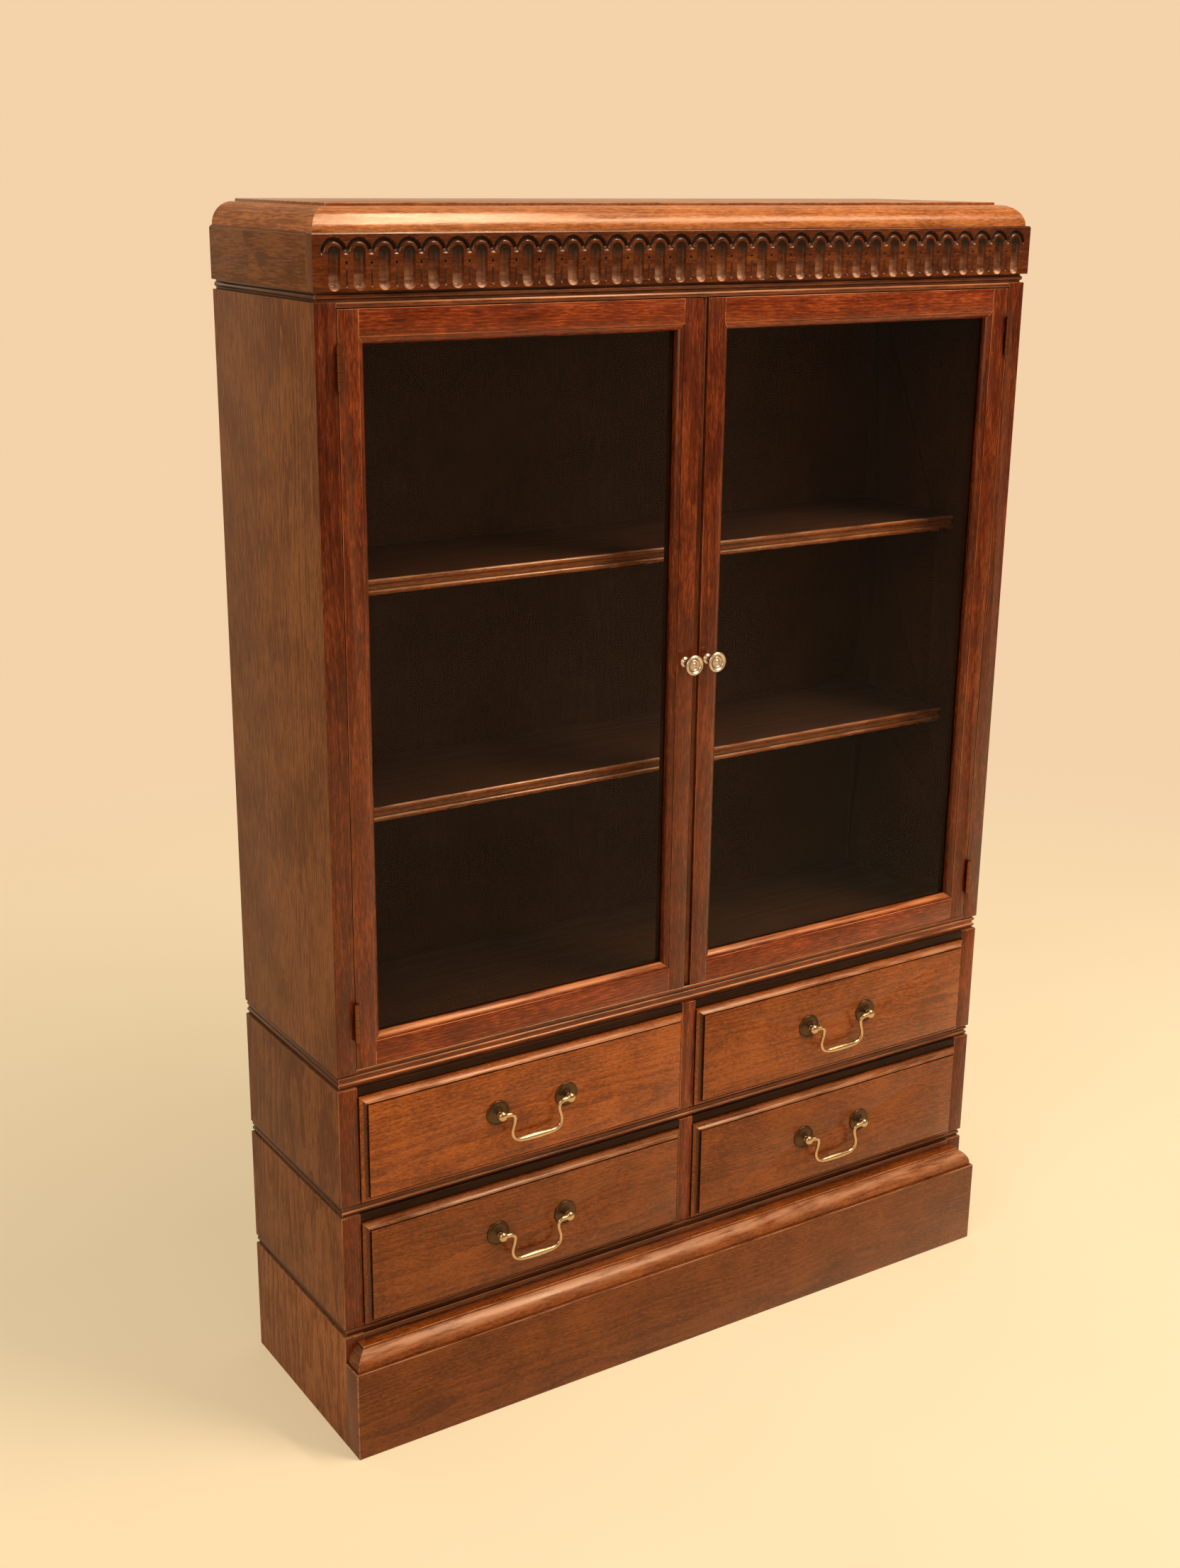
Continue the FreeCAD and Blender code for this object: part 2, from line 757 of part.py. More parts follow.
def cabinet_floor():
    # Its front nose shows as one more reed under the doors, and behind the
    # doors it steps up to stop them.
    step = "door_thickness + door_stop_gap"
    inner_back = "carcass_depth - back_thickness"
    section = [
        ("sill_nose", "0", segment_radius("sill_height", "sill_nose"), 1),
        (inner_back, "0"),
        (inner_back, "floor_thickness"),
        (step, "floor_thickness"),
        (step, "sill_height"),
        ("sill_nose", "sill_height"),
    ]
    crosswise_board("cabinet_floor", "cabinet_bottom", "inner_half", section)


def cabinet_head():
    # The same nose and door stop, upside down, over the doors.
    step = "door_thickness + door_stop_gap"
    inner_back = "carcass_depth - back_thickness"
    section = [
        ("sill_nose", "-head_height", segment_radius("head_height", "sill_nose"), 1),
        (step, "-head_height"),
        (step, "-head_thickness"),
        (inner_back, "-head_thickness"),
        (inner_back, "0"),
        ("sill_nose", "0"),
    ]
    crosswise_board("cabinet_head", "cabinet_top", "inner_half", section)


def shelf(name, top):
    # The front edge has two reeds with a sunk band between them.
    radius = segment_radius("shelf_reed", "shelf_nose")
    face = "shelf_setback + shelf_nose"
    sunk = "shelf_setback + shelf_sinking"
    upper = "shelf_thickness - shelf_reed"
    rear = "carcass_depth - back_thickness - shelf_gap"
    section = [
        (face, "0", radius, 1),
        (rear, "0"),
        (rear, "shelf_thickness"),
        (face, "shelf_thickness"),
        (face, upper, radius, 1),
        (sunk, upper),
        (sunk, "shelf_reed"),
        (face, "shelf_reed"),
    ]
    crosswise_board(name, "cabinet_bottom + %s - shelf_thickness" % top, "inner_half - shelf_gap", section)


def shelf_pegs():
    pegs = []
    for side, hand in (("left", -1), ("right", 1)):
        for index, (deep, high) in enumerate(peg_places()):
            peg = document.addObject("Part::Cylinder", "shelf_peg_%s_%d" % (side, index + 1))
            bind(peg, "Radius", "peg_radius")
            bind(peg, "Height", "peg_length")
            inner = "inner_half + peg_seat - peg_length"
            bind(peg, "Placement.Base.x", inner if hand > 0 else "-(inner_half + peg_seat)")
            bind(peg, "Placement.Base.y", "front + " + deep)
            bind(peg, "Placement.Base.z", "cabinet_bottom + " + high)
            peg.Placement.Rotation = FreeCAD.Rotation(FreeCAD.Vector(0, 1, 0), 90)
            pegs.append(peg)
    group("shelf_pegs", pegs)


# The hinges. The carcass leaves carry knuckles 1, 3 and 5 and the door leaves
# knuckles 2 and 4, round one fixed pin.

def hinge_leaf(name, level, hand, on_door):
    body = body_at(name, "%d * pin_across" % hand, "front", level)
    reach = ("hinge_gap / 2", "hinge_gap / 2 + leaf_thickness")
    if on_door:
        reach = ("-(%s)" % reach[1], "-(%s)" % reach[0])
    plate = flip(rectangle(reach, ("-pin_forward", "leaf_width")), hand)
    plate_outline = outline(body, name + "_plate_outline", "XY_Plane", plate)
    pad(body, name + "_plate", plate_outline, "hinge_length")
    barrel = circles(body, name + "_barrel_circle", "XY_Plane", ("0", "-pin_forward", "knuckle_radius"))
    pad(body, name + "_barrel", barrel, "hinge_length")
    bore = circles(body, name + "_bore_circle", "XY_Plane", ("0", "-pin_forward", "bore_radius"))
    cut_through(body, name + "_bore", bore)
    gaps = []
    for index in range(hinge_knuckles):
        if (index % 2 == 0) == on_door:
            low = "%d * knuckle_length - knuckle_end_gap" % index
            high = "%d * knuckle_length + knuckle_end_gap" % (index + 1)
            gaps.append(rectangle(("-2 * pin_forward - overrun", "0"), (low, high)))
    cut_through(body, name + "_gaps", outline(body, name + "_gap_outlines", "YZ_Plane", *gaps))
    return body


def hinge_pin(name, level, hand):
    shaft = [
        ("0", "-hinge_pin_head"),
        ("hinge_pin_head_radius", "-hinge_pin_head"),
        ("hinge_pin_head_radius", "0"),
        ("hinge_pin_radius", "0"),
        ("hinge_pin_radius", "hinge_length"),
        ("hinge_pin_head_radius", "hinge_length"),
        ("hinge_pin_head_radius", "hinge_length + hinge_pin_head"),
        ("0", "hinge_length + hinge_pin_head"),
    ]
    body = body_at(name, "%d * pin_across" % hand, "front - pin_forward", level)
    revolve(body, name + "_turning", outline(body, name + "_section", "XZ_Plane", shaft), "V_Axis")
    return body


def hinge_places(side):
    """The name and level of each hinge of one door."""
    low, high = hinge_levels()
    return [(side + "_lower", "cabinet_bottom + " + low), (side + "_upper", "cabinet_bottom + " + high)]


def carcass_hinges():
    leaves = []
    pins = []
    for side, hand in (("left", -1), ("right", 1)):
        for place, level in hinge_places(side):
            leaves.append(hinge_leaf("carcass_leaf_" + place, level, hand, False))
            pins.append(hinge_pin("pin_" + place, level, hand))
    group("carcass_hinge_leaves", leaves)
    group("hinge_pins", pins)


# The doors. Stiles and rails carry a moulding on the edges round the glass,
# mitred in the corners; the glass lies in a rebate behind it.

def sticking_profile():
    """The moulding round the glass: (inset into the opening, depth)."""
    return [
        ("0", "-overrun"),
        ("0", "sticking_fillet"),
        ("sticking_quirk", "sticking_fillet"),
        ("sticking_width", "sticking_depth", "sticking_radius", 1),
        ("sticking_width + overrun", "sticking_depth"),
        ("sticking_width + overrun", "-overrun"),
    ]


def cut_sticking(body, name, role, sight, inward, swapped):
    cut_along(body, name + "_sticking", role, sticking_profile(), sight, inward, swapped)
    rebate = [
        ("0", "lip_depth"),
        ("sticking_width + overrun", "lip_depth"),
        ("sticking_width + overrun", "door_thickness + overrun"),
        ("0", "door_thickness + overrun"),
    ]
    cut_along(body, name + "_rebate", role, rebate, sight, inward, swapped)


def door_stile(name, outer, sight, inward, hand):
    """One upright; outer and sight are its two edges, inward points to the glass."""
    body = body_at(name, "0", "front", "door_bottom")
    lip = "%s %s sticking_width" % (sight, "+" if inward > 0 else "-")
    upright = [
        (outer, "0"),
        (sight, "0"),
        (sight, "bottom_sight"),
        (lip, "bottom_sight + sticking_width"),
        (lip, "top_sight - sticking_width"),
        (sight, "top_sight"),
        (sight, "door_height"),
        (outer, "door_height"),
    ]
    elevation = outline(body, name + "_elevation", "XZ_Plane", flip(upright, hand))
    pad(body, name + "_board", elevation, "door_thickness", back=True)
    place = sight if hand > 0 else "-(%s)" % sight
    cut_sticking(body, name, "XY_Plane", place, inward * hand, False)
    return body


def hinge_stile(side, hand):
    name = "door_%s_hinge_stile" % side
    body = door_stile(name, "door_edge", "hinge_sight", -1, hand)
    recesses = []
    for level in hinge_levels():
        low = level + " - sill_height - door_gap"
        across = ("door_edge - leaf_thickness", "door_edge + overrun")
        height = (low + " - fit_gap", low + " + hinge_length + fit_gap")
        recesses.append(flip(rectangle(across, height), hand))
    plan = outline(body, name + "_leaf_outlines", "XZ_Plane", *recesses)
    cut_deep(body, name + "_leaf_recesses", plan, "leaf_width + fit_gap")
    keep(body, name)


def meeting_stile(side, hand, sight):
    name = "door_%s_meeting_stile" % side
    body = door_stile(name, "meeting_gap / 2", sight, 1, hand)
    if side == "left":
        # A bead along the meeting edge, with a sunk line beside it.
        rise = "(meeting_quirk_depth - meeting_bead_drop)"
        strip = "meeting_bead_width + meeting_quirk_width"
        profile = [
            ("-overrun", "-overrun"),
            ("-overrun", "meeting_quirk_depth"),
            ("0", "meeting_quirk_depth"),
            ("meeting_bead_width", "meeting_quirk_depth", segment_radius("meeting_bead_width", rise), -1),
            (strip, "meeting_quirk_depth"),
            (strip, "-overrun"),
        ]
        cut_along(body, name + "_bead", "XY_Plane", profile, "-meeting_gap / 2", -1, False)
    keep(body, name)


def door_rails(side, hand, sight):
    pieces = []
    for place, edge, level, inward in (
        ("top", "door_height", "top_sight", -1),
        ("bottom", "0", "bottom_sight", 1),
    ):
        name = "door_%s_%s_rail" % (side, place)
        body = body_at(name, "0", "front", "door_bottom")
        lip = "%s %s sticking_width" % (level, "+" if inward > 0 else "-")
        board = [
            (sight, edge),
            ("hinge_sight", edge),
            ("hinge_sight", level),
            ("hinge_sight - sticking_width", lip),
            (sight + " + sticking_width", lip),
            (sight, level),
        ]
        elevation = outline(body, name + "_elevation", "XZ_Plane", flip(board, hand))
        pad(body, name + "_board", elevation, "door_thickness", back=True)
        cut_sticking(body, name, "YZ_Plane", level, inward, True)
        pieces.append(body)
    group("door_%s_rails" % side, pieces)


def handed(limits, hand):
    """Two limits across, turned over for the left-hand side."""
    low, top = limits
    if hand > 0:
        return low, top
    return "-(%s)" % top, "-(%s)" % low


def door_glass(side, hand, sight):
    name = "door_%s_glass" % side
    across = handed((sight + " + glass_edge_gap", "hinge_sight - glass_edge_gap"), hand)
    depth = ("front + lip_depth", "front + lip_depth + glass_thickness")
    height = ("door_bottom + bottom_sight + glass_edge_gap", "door_bottom + top_sight - glass_edge_gap")
    keep(block(name, across, depth, height), name)


def glazing_beads(side, hand, sight):
    name = "door_%s_glazing_beads" % side
    start = "front + lip_depth + glass_thickness"
    depth = (start, start + " + glazing_bead_depth")
    full = ("door_bottom + bottom_sight", "door_bottom + top_sight")
    uprights = [(sight, sight + " + sticking_width"), ("hinge_sight - sticking_width", "hinge_sight")]
    levels = [(full[0], full[0] + " + sticking_width"), (full[1] + " - sticking_width", full[1])]
    beads = []
    for index, limits in enumerate(uprights):
        beads.append(block("%s_upright_%d" % (name, index + 1), handed(limits, hand), depth, full))
    between = handed((sight + " + sticking_width", "hinge_sight - sticking_width"), hand)
    for index, limits in enumerate(levels):
        beads.append(block("%s_level_%d" % (name, index + 1), between, depth, limits))
    group(name, beads)


def door_knob(side, hand, sight):
    # A turned knob: a collar on the stile, a neck and a head with one raised
    # ring and a raised button on its face.
    name = "door_%s_knob" % side
    inner = "meeting_gap / 2"
    if side == "left":
        inner = inner + " + meeting_bead_width + meeting_quirk_width"
    across = "%d * ((%s) + (%s)) / 2" % (hand, inner, sight)
    body = body_at(name, across, "front", "door_bottom + door_height / 2")
    flat = "-knob_face"
    section = [
        ("0", "0"),
        ("knob_collar_radius", "0"),
        ("knob_collar_radius", "-knob_collar"),
        ("knob_neck_radius", "-2 * knob_collar"),
        ("knob_neck_radius", "-knob_neck"),
        ("knob_radius", "-(knob_reach - knob_rim)", "2 * knob_radius", 1),
        ("knob_radius", flat),
        ("knob_ring_radius + knob_ring_depth", "-knob_reach", "knob_rim", -1),
        ("knob_ring_radius", flat),
        ("knob_button_radius", flat),
        ("0", "-knob_reach", segment_radius("2 * knob_button_radius", "knob_ring_depth"), -1),
    ]
    revolve(body, name + "_turning", outline(body, name + "_section", "XY_Plane", section), "V_Axis")
    keep(body, name)


def door(side, hand):
    sight = "meeting_gap / 2 + %s_meeting_stile_width" % side
    hinge_stile(side, hand)
    meeting_stile(side, hand, sight)
    door_rails(side, hand, sight)
    door_glass(side, hand, sight)
    glazing_beads(side, hand, sight)
    door_knob(side, hand, sight)
    leaves = [hinge_leaf("door_leaf_" + place, level, hand, True) for place, level in hinge_places(side)]
    group("door_%s_hinge_leaves" % side, leaves)


# The cornice

def bevel_profile():
    """A small bevel on the top outer edge of the frieze boards."""
    return [
        ("0", "frieze_height - frieze_bevel"),
        ("frieze_bevel", "frieze_height"),
        ("frieze_bevel", "frieze_height + overrun"),
    ]


def frieze_front():
    name = "frieze_front"
    body = body_at(name, "0", "frieze_face", "frieze_bottom")
    face = rectangle(("-frieze_half", "frieze_half"), ("0", "frieze_height"))
    elevation = outline(body, name + "_elevation", "XZ_Plane", face)
    pad(body, name + "_board", elevation, "frieze_front_thickness", back=True)
    run_moulding(body, name + "_bevel", "YZ_Plane", bevel_profile(), "0", 1)
    run_moulding(body, name + "_bevel_left", "XZ_Plane", bevel_profile(), "-frieze_half", 1)
    run_moulding(body, name + "_bevel_right", "XZ_Plane", bevel_profile(), "frieze_half", -1)
    radius = "flute_width / 2"
    middle = "(flute_margin - frieze_half)"
    left = "%s - %s" % (middle, radius)
    right = "%s + %s" % (middle, radius)
    low = "flute_foot + " + radius
    high = "frieze_height - flute_head - " + radius
    flute = [
        (left, low),
        (middle, "flute_foot", "flute_width / 2", 1),
        (right, low, "flute_width / 2", 1),
        (right, high),
        (middle, "frieze_height - flute_head", "flute_width / 2", 1),
        (left, high, "flute_width / 2", 1),
    ]
    first = outline(body, name + "_flute_outline", "XZ_Plane", flute)
    pocket = cut_deep(body, name + "_flute", first, "flute_depth")
    row = body.newObject("PartDesign::LinearPattern", name + "_flutes")
    row.Originals = [pocket]
    row.Direction = (first, ["H_Axis"])
    bind(row, "Length", "flute_row")
    row.Occurrences = flute_count
    body.Tip = row
    keep(body, name)


def frieze_frame():
    # Two side boards with the same bevel, and a rail across the back.
    pieces = []
    for side, hand in (("left", -1), ("right", 1)):
        name = "frieze_side_" + side
        body = body_at(name, "0", "frieze_face", "frieze_bottom")
        across = ("frieze_half - frieze_front_thickness", "frieze_half")
        depth = ("frieze_front_thickness", "frieze_depth")
        plan = outline(body, name + "_plan", "XY_Plane", flip(rectangle(across, depth), hand))
        pad(body, name + "_board", plan, "frieze_height")
        run_moulding(body, name + "_bevel", "XZ_Plane", bevel_profile(), "%d * frieze_half" % hand, -hand)
        pieces.append(body)
    inner = "frieze_half - frieze_front_thickness"
    rail = block(
        "frieze_back_rail",
        ("-(%s)" % inner, inner),
        ("back - frieze_front_thickness", "back"),
        ("frieze_bottom", "cap_bottom - cap_frame_depth"),
    )
    group("frieze_frame", pieces + [rail])


def cap_strip(name, side, hand):
    """One quarter-round strip of the cap, mitred where it meets its neighbour."""
    body = body_at(name, "0", "frieze_face + cap_front_ledge", "cap_bottom")
    section = [
        ("0", "0", "cap_ovolo_radius", 1),
        ("cap_width", "0"),
        ("cap_width", "cap_ovolo_radius"),
        ("cap_ovolo_radius", "cap_ovolo_radius"),
    ]
    outside = "cap_half + overrun"
    inside = "cap_half - cap_width - overrun"
    if side == "front":
        profile = outline(body, name + "_section", "YZ_Plane", section)
        pad(body, name + "_bar", profile, "2 * cap_half", middle=True)
        for end in (-1, 1):
            corner = (outside, "cap_width + overrun")
            waste = [(outside, "-overrun"), corner, (inside, "cap_width + overrun")]
            mitre = outline(body, "%s_mitre_%d" % (name, end + 1), "XY_Plane", flip(waste, end))
            cut_through(body, "%s_mitre_cut_%d" % (name, end + 1), mitre)
        return body
    turned = []
    for point in section:
        turned.append(("cap_half - (%s)" % point[0],) + point[1:3] + tuple(-turn for turn in point[3:]))
    profile = outline(body, name + "_section", "XZ_Plane", flip(turned, hand))
    pad(body, name + "_bar", profile, "frieze_depth - cap_front_ledge", back=True)
    waste = [(outside, "-overrun"), (inside, "-overrun"), (inside, "cap_width + overrun")]
    cut_through(body, name + "_mitre_cut", outline(body, name + "_mitre", "XY_Plane", flip(waste, hand)))
    return body


def cornice_moulding():
    strips = [cap_strip("cap_strip_front", "front", 1)]
    for side, hand in (("left", -1), ("right", 1)):
        strips.append(cap_strip("cap_strip_" + side, side, hand))
    group("cornice_moulding", strips)


def cornice_top_board():
    # The raised top between the mouldings, with a frame under it that fits
    # inside the frieze.
    name = "cornice_top_board"
    body = body_at(name, "0", "frieze_face", "cap_bottom")
    edge = "cap_half - cap_width"
    top = rectangle(("-(%s)" % edge, edge), ("cap_front_ledge + cap_width", "frieze_depth"))
    top_plan = outline(body, name + "_top_plan", "XY_Plane", top)
    pad(body, name + "_top", top_plan, "cap_ovolo_radius + cap_edge")
    inner = "frieze_half - frieze_front_thickness"
    frame = rectangle(("-(%s)" % inner, inner), ("frieze_front_thickness", "frieze_depth"))
    frame_plan = outline(body, name + "_frame_plan", "XY_Plane", frame)
    pad(body, name + "_frame", frame_plan, "cap_frame_depth", back=True)
    keep(body, name)


def build():
    plinth_sides()
    plinth_rails()
    plinth_front_board()
    plinth_moulding()
    reeded_board("plinth_lid_board", "plinth_height", "plinth_lid_thickness", "plinth_reed", 1)
    drawer_unit("lower")
    reeded_board("middle_joint_board", "lower_unit_top", "middle_board_thickness", "middle_reed", 2)
    drawer_unit("upper")
    reeded_board("cabinet_base_board", "upper_unit_top", "base_board_thickness", "base_reed", 2)
    cabinet_side("left", -1)
    cabinet_side("right", 1)
    cabinet_back()
    cabinet_floor()
    cabinet_head()
    shelf("shelf_lower", "shelf_lower_top")
    shelf("shelf_upper", "shelf_upper_top")
    shelf_pegs()
    carcass_hinges()
    reeded_board("cabinet_top_board", "cabinet_top", "top_board_thickness", "top_reed", 1)
    frieze_front()
    frieze_frame()
    cornice_moulding()
    cornice_top_board()
    door("left", -1)
    door("right", 1)
    for storey in ("lower", "upper"):
        drawer(storey, "left", -1)
        drawer(storey, "right", 1)


def check():
    """Refuse failed features, empty shapes and pockets that cut nothing."""
    for item in document.Objects:
        if "Invalid" in item.State or "Error" in item.State:
            raise RuntimeError("%s is in state %s" % (item.Name, item.State))
        if item.TypeId == "PartDesign::Pocket" and item.BaseFeature is not None:
            if item.Shape.Volume >= item.BaseFeature.Shape.Volume:
                raise RuntimeError(item.Name + " cuts nothing")
    for piece in sub_parts:
        if piece.Shape.isNull() or not piece.Shape.isValid():
            raise RuntimeError(piece.Label + " has no valid shape")


build()
document.recompute()
check()
os.makedirs("parts", exist_ok=True)
for piece in sub_parts:
    piece.Shape.exportStep(os.path.join("parts", piece.Label + ".step"))
print(len(sub_parts), "sub-parts written")
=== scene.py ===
import bmesh
import bpy
import json
import math
import random
from mathutils import Euler, Matrix, Vector


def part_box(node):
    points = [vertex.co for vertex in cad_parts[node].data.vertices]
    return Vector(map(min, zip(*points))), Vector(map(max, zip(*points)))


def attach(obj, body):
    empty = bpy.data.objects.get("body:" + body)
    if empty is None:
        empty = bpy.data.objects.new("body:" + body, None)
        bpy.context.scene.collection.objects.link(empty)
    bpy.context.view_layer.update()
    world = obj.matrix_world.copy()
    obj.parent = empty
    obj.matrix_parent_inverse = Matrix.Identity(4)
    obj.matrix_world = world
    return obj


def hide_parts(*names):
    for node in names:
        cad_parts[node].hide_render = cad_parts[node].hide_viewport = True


# A small oak bookcase with two glazed doors over four drawers. Metres, in the
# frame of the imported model: X along the front, Y from front to back, Z up.

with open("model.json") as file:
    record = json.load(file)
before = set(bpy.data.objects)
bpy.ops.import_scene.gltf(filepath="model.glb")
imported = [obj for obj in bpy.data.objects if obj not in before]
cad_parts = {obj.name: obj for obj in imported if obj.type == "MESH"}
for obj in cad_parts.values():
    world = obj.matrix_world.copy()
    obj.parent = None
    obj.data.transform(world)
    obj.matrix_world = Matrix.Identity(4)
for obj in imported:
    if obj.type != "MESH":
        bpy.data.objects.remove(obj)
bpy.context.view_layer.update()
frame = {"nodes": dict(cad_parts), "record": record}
cadNodes = frame["nodes"]
mm = 0.001
weld = 0.002 * mm  # points of a turning or a bail nearer than this are one
print("stage: frame loaded,", len(cadNodes), "nodes")


# Colours and nodes

def linear(hexColour):
    # an sRGB hex colour as the linear values that a shader takes
    values = []
    for start in (1, 3, 5):
        share = int(hexColour[start:start + 2], 16) / 255
        values.append(share / 12.92 if share <= 0.04045 else ((share + 0.055) / 1.055) ** 2.4)
    return (*values, 1.0)


def addNode(tree, kind, settings=None, links=None):
    # one node with its settings and links; "stops" are a colour ramp's stops
    node = tree.nodes.new(kind)
    for key, setting in (settings or {}).items():
        if key == "stops":
            ramp = node.color_ramp
            while len(ramp.elements) < len(setting):
                ramp.elements.new(0.5)
            for element, (position, colour) in zip(ramp.elements, setting):
                element.position = position
                element.color = colour if isinstance(colour, tuple) else (colour, colour, colour, 1)
        elif isinstance(key, int) or key in node.inputs:
            node.inputs[key].default_value = setting
        else:
            setattr(node, key, setting)
    for key, source in (links or {}).items():
        tree.links.new(source, node.inputs[key])
    return node


def newMaterial(name):
    material = bpy.data.materials.new(name)
    material.use_nodes = True
    tree = material.node_tree
    tree.nodes.clear()
    return material, tree


# Oak, stained and wax-polished. The eye sees the growth rings as a soft figure,
# short flecks and open pores along the grain, darker hollows, partly polish left
# there and partly painted shade, and a pale line where an edge is rubbed. The
# same pale colour is also painted highlight on slopes that face up and at the
# feet of the flutes.
# front: drawers, plinth and shelves; golden: the top moulding; frame: doors and
# pilasters; reeds: the grooved boards; plain: bare wood.
# contrast: how strongly the figure shows; pores: how dark they are; run: how
# long the patterns are drawn; hollow: how open a place still takes the grime and
# painted shade

oakLooks = {
    "front": {"pale": "#AC5A20", "body": "#8E4413", "deep": "#662D0B", "pore": "#3A1707",
              "worn": "#E0A27A", "grime": "#0A0301", "rough": 0.25, "shine": 0.5,
              "contrast": 1.35, "pores": 0.35, "run": 0.38, "hollow": 0.38},
    "golden": {"pale": "#C87C42", "body": "#A45C2C", "deep": "#703814", "pore": "#4A200A",
               "worn": "#E8A878", "grime": "#160803", "rough": 0.21, "shine": 0.7,
               "contrast": 1.0, "pores": 0.25, "run": 0.6, "hollow": 0.38},
    "frame": {"pale": "#A24A1A", "body": "#66240A", "deep": "#361004", "pore": "#1E0702",
              "worn": "#D08450", "grime": "#0A0301", "rough": 0.26, "shine": 0.5,
              "contrast": 0.85, "pores": 0.4, "run": 0.8, "hollow": 0.38},
    "reeds": {"pale": "#86401A", "body": "#5A260E", "deep": "#321205", "pore": "#180702",
              "worn": "#D48C5C", "grime": "#030101", "rough": 0.26, "shine": 0.6,
              "contrast": 1.0, "pores": 0.3, "run": 1.0, "hollow": 0.20},
    "side": {"pale": "#8E5A34", "body": "#7A4A2A", "deep": "#643A20", "pore": "#4A2814",
             "worn": "#9E6C46", "grime": "#140805", "rough": 0.55, "shine": 0.3,
             "contrast": 2.7, "pores": 0.30, "run": 1.3, "hollow": 0.38},
    # carved: the pale colour is the painted highlight at the feet of the flutes
    "carved": {"pale": "#84400F", "body": "#5E260A", "deep": "#3A1405", "pore": "#180602",
               "worn": "#FFBE98", "grime": "#050101", "rough": 0.23, "shine": 0.6,
               "contrast": 1.0, "pores": 0.2, "run": 0.6, "hollow": 0.42},
    "inner": {"pale": "#34190C", "body": "#241007", "deep": "#160803", "pore": "#0C0402",
              "worn": "#58341E", "grime": "#040100", "rough": 0.55, "shine": 0.2,
              "contrast": 0.9, "pores": 0.3, "run": 1.0, "hollow": 0.38},
    "plain": {"pale": "#C09466", "body": "#A67848", "deep": "#87592F", "pore": "#5C3A1E",
              "worn": "#D0A878", "grime": "#3A2412", "rough": 0.65, "shine": 0.3,
              "contrast": 1.0, "pores": 0.5, "run": 1.0, "hollow": 0.38},
}

oakGrain = {
    "seed": 1000,                 # the first of the numbers that the boards' places come from
    "seedStep": 17,
    "placeAlong": 0.6,            # the boards are cut from places this far apart in the tree
    "placeAcross": 0.02,
    "pith": (0.0, 0.055, 0.012),  # how far the tree's heart lies from the board's middle
    "taper": 0.06,                # how slowly the rings change along the board
    "ringWidth": 3.4 * mm,        # one year's growth
    "wander": 13 * mm,            # how far the rings stray, and over what length and width
    "wanderLength": 420 * mm,
    "wanderWidth": 90 * mm,
    "fleckWidth": 1.3 * mm,
    "fleckLength": 15 * mm,
    "bandWidth": 7 * mm,
    "bandLength": 130 * mm,
    "poreWidth": 0.7 * mm,        # real pores are 0.3 mm wide; drawn wider to show
    "poreLength": 7 * mm,
    "blotch": 70 * mm,
    "blotchShare": 0.55,          # what each pattern adds to the figure
    "shares": {"ring": 0.18, "band": 0.35, "fleck": 0.95},
    "sumMiddle": 1.02,            # where the figure's sum lies, and how far it spreads
    "sumSpread": 0.30,
    "toneStops": (0.08, 0.50, 0.95),
    "ringPores": 0.14,            # more pores at the start of each ring
    "poreStops": (0.60, 0.76),
    # the painted highlights come in the same patches as the rubbed edges
    "wearAndHighlightStops": [(0.36, 0.15), (0.62, 0.9)],  # a rubbed edge is worn in patches
    "grimeAndShadeReach": 8 * mm,
    "grimeAndShadeFade": 0.45,
    "grimeAndShadeRough": 0.45,           # polish in a hollow is dull
    "glossBands": ((0.3, 0.7), (-0.05, 0.08)),  # the roughness changes from band to band
    "relief": 0.2 * mm,
    "reliefStrength": 0.30,
    "poreRelief": -0.6,
    "waxTint": "#FFDCC0",
}

grainTurns = {"X": (0, 0, 0), "Y": (0, 0, -math.pi / 2), "Z": (0, math.pi / 2, 0)}
# grain numbers of the pieces that aren't in the list of boards
grainNumbers = {"beads": 54, "boxes": 55, "frieze": 60, "friezeEnds": 61}
oakMade = {}


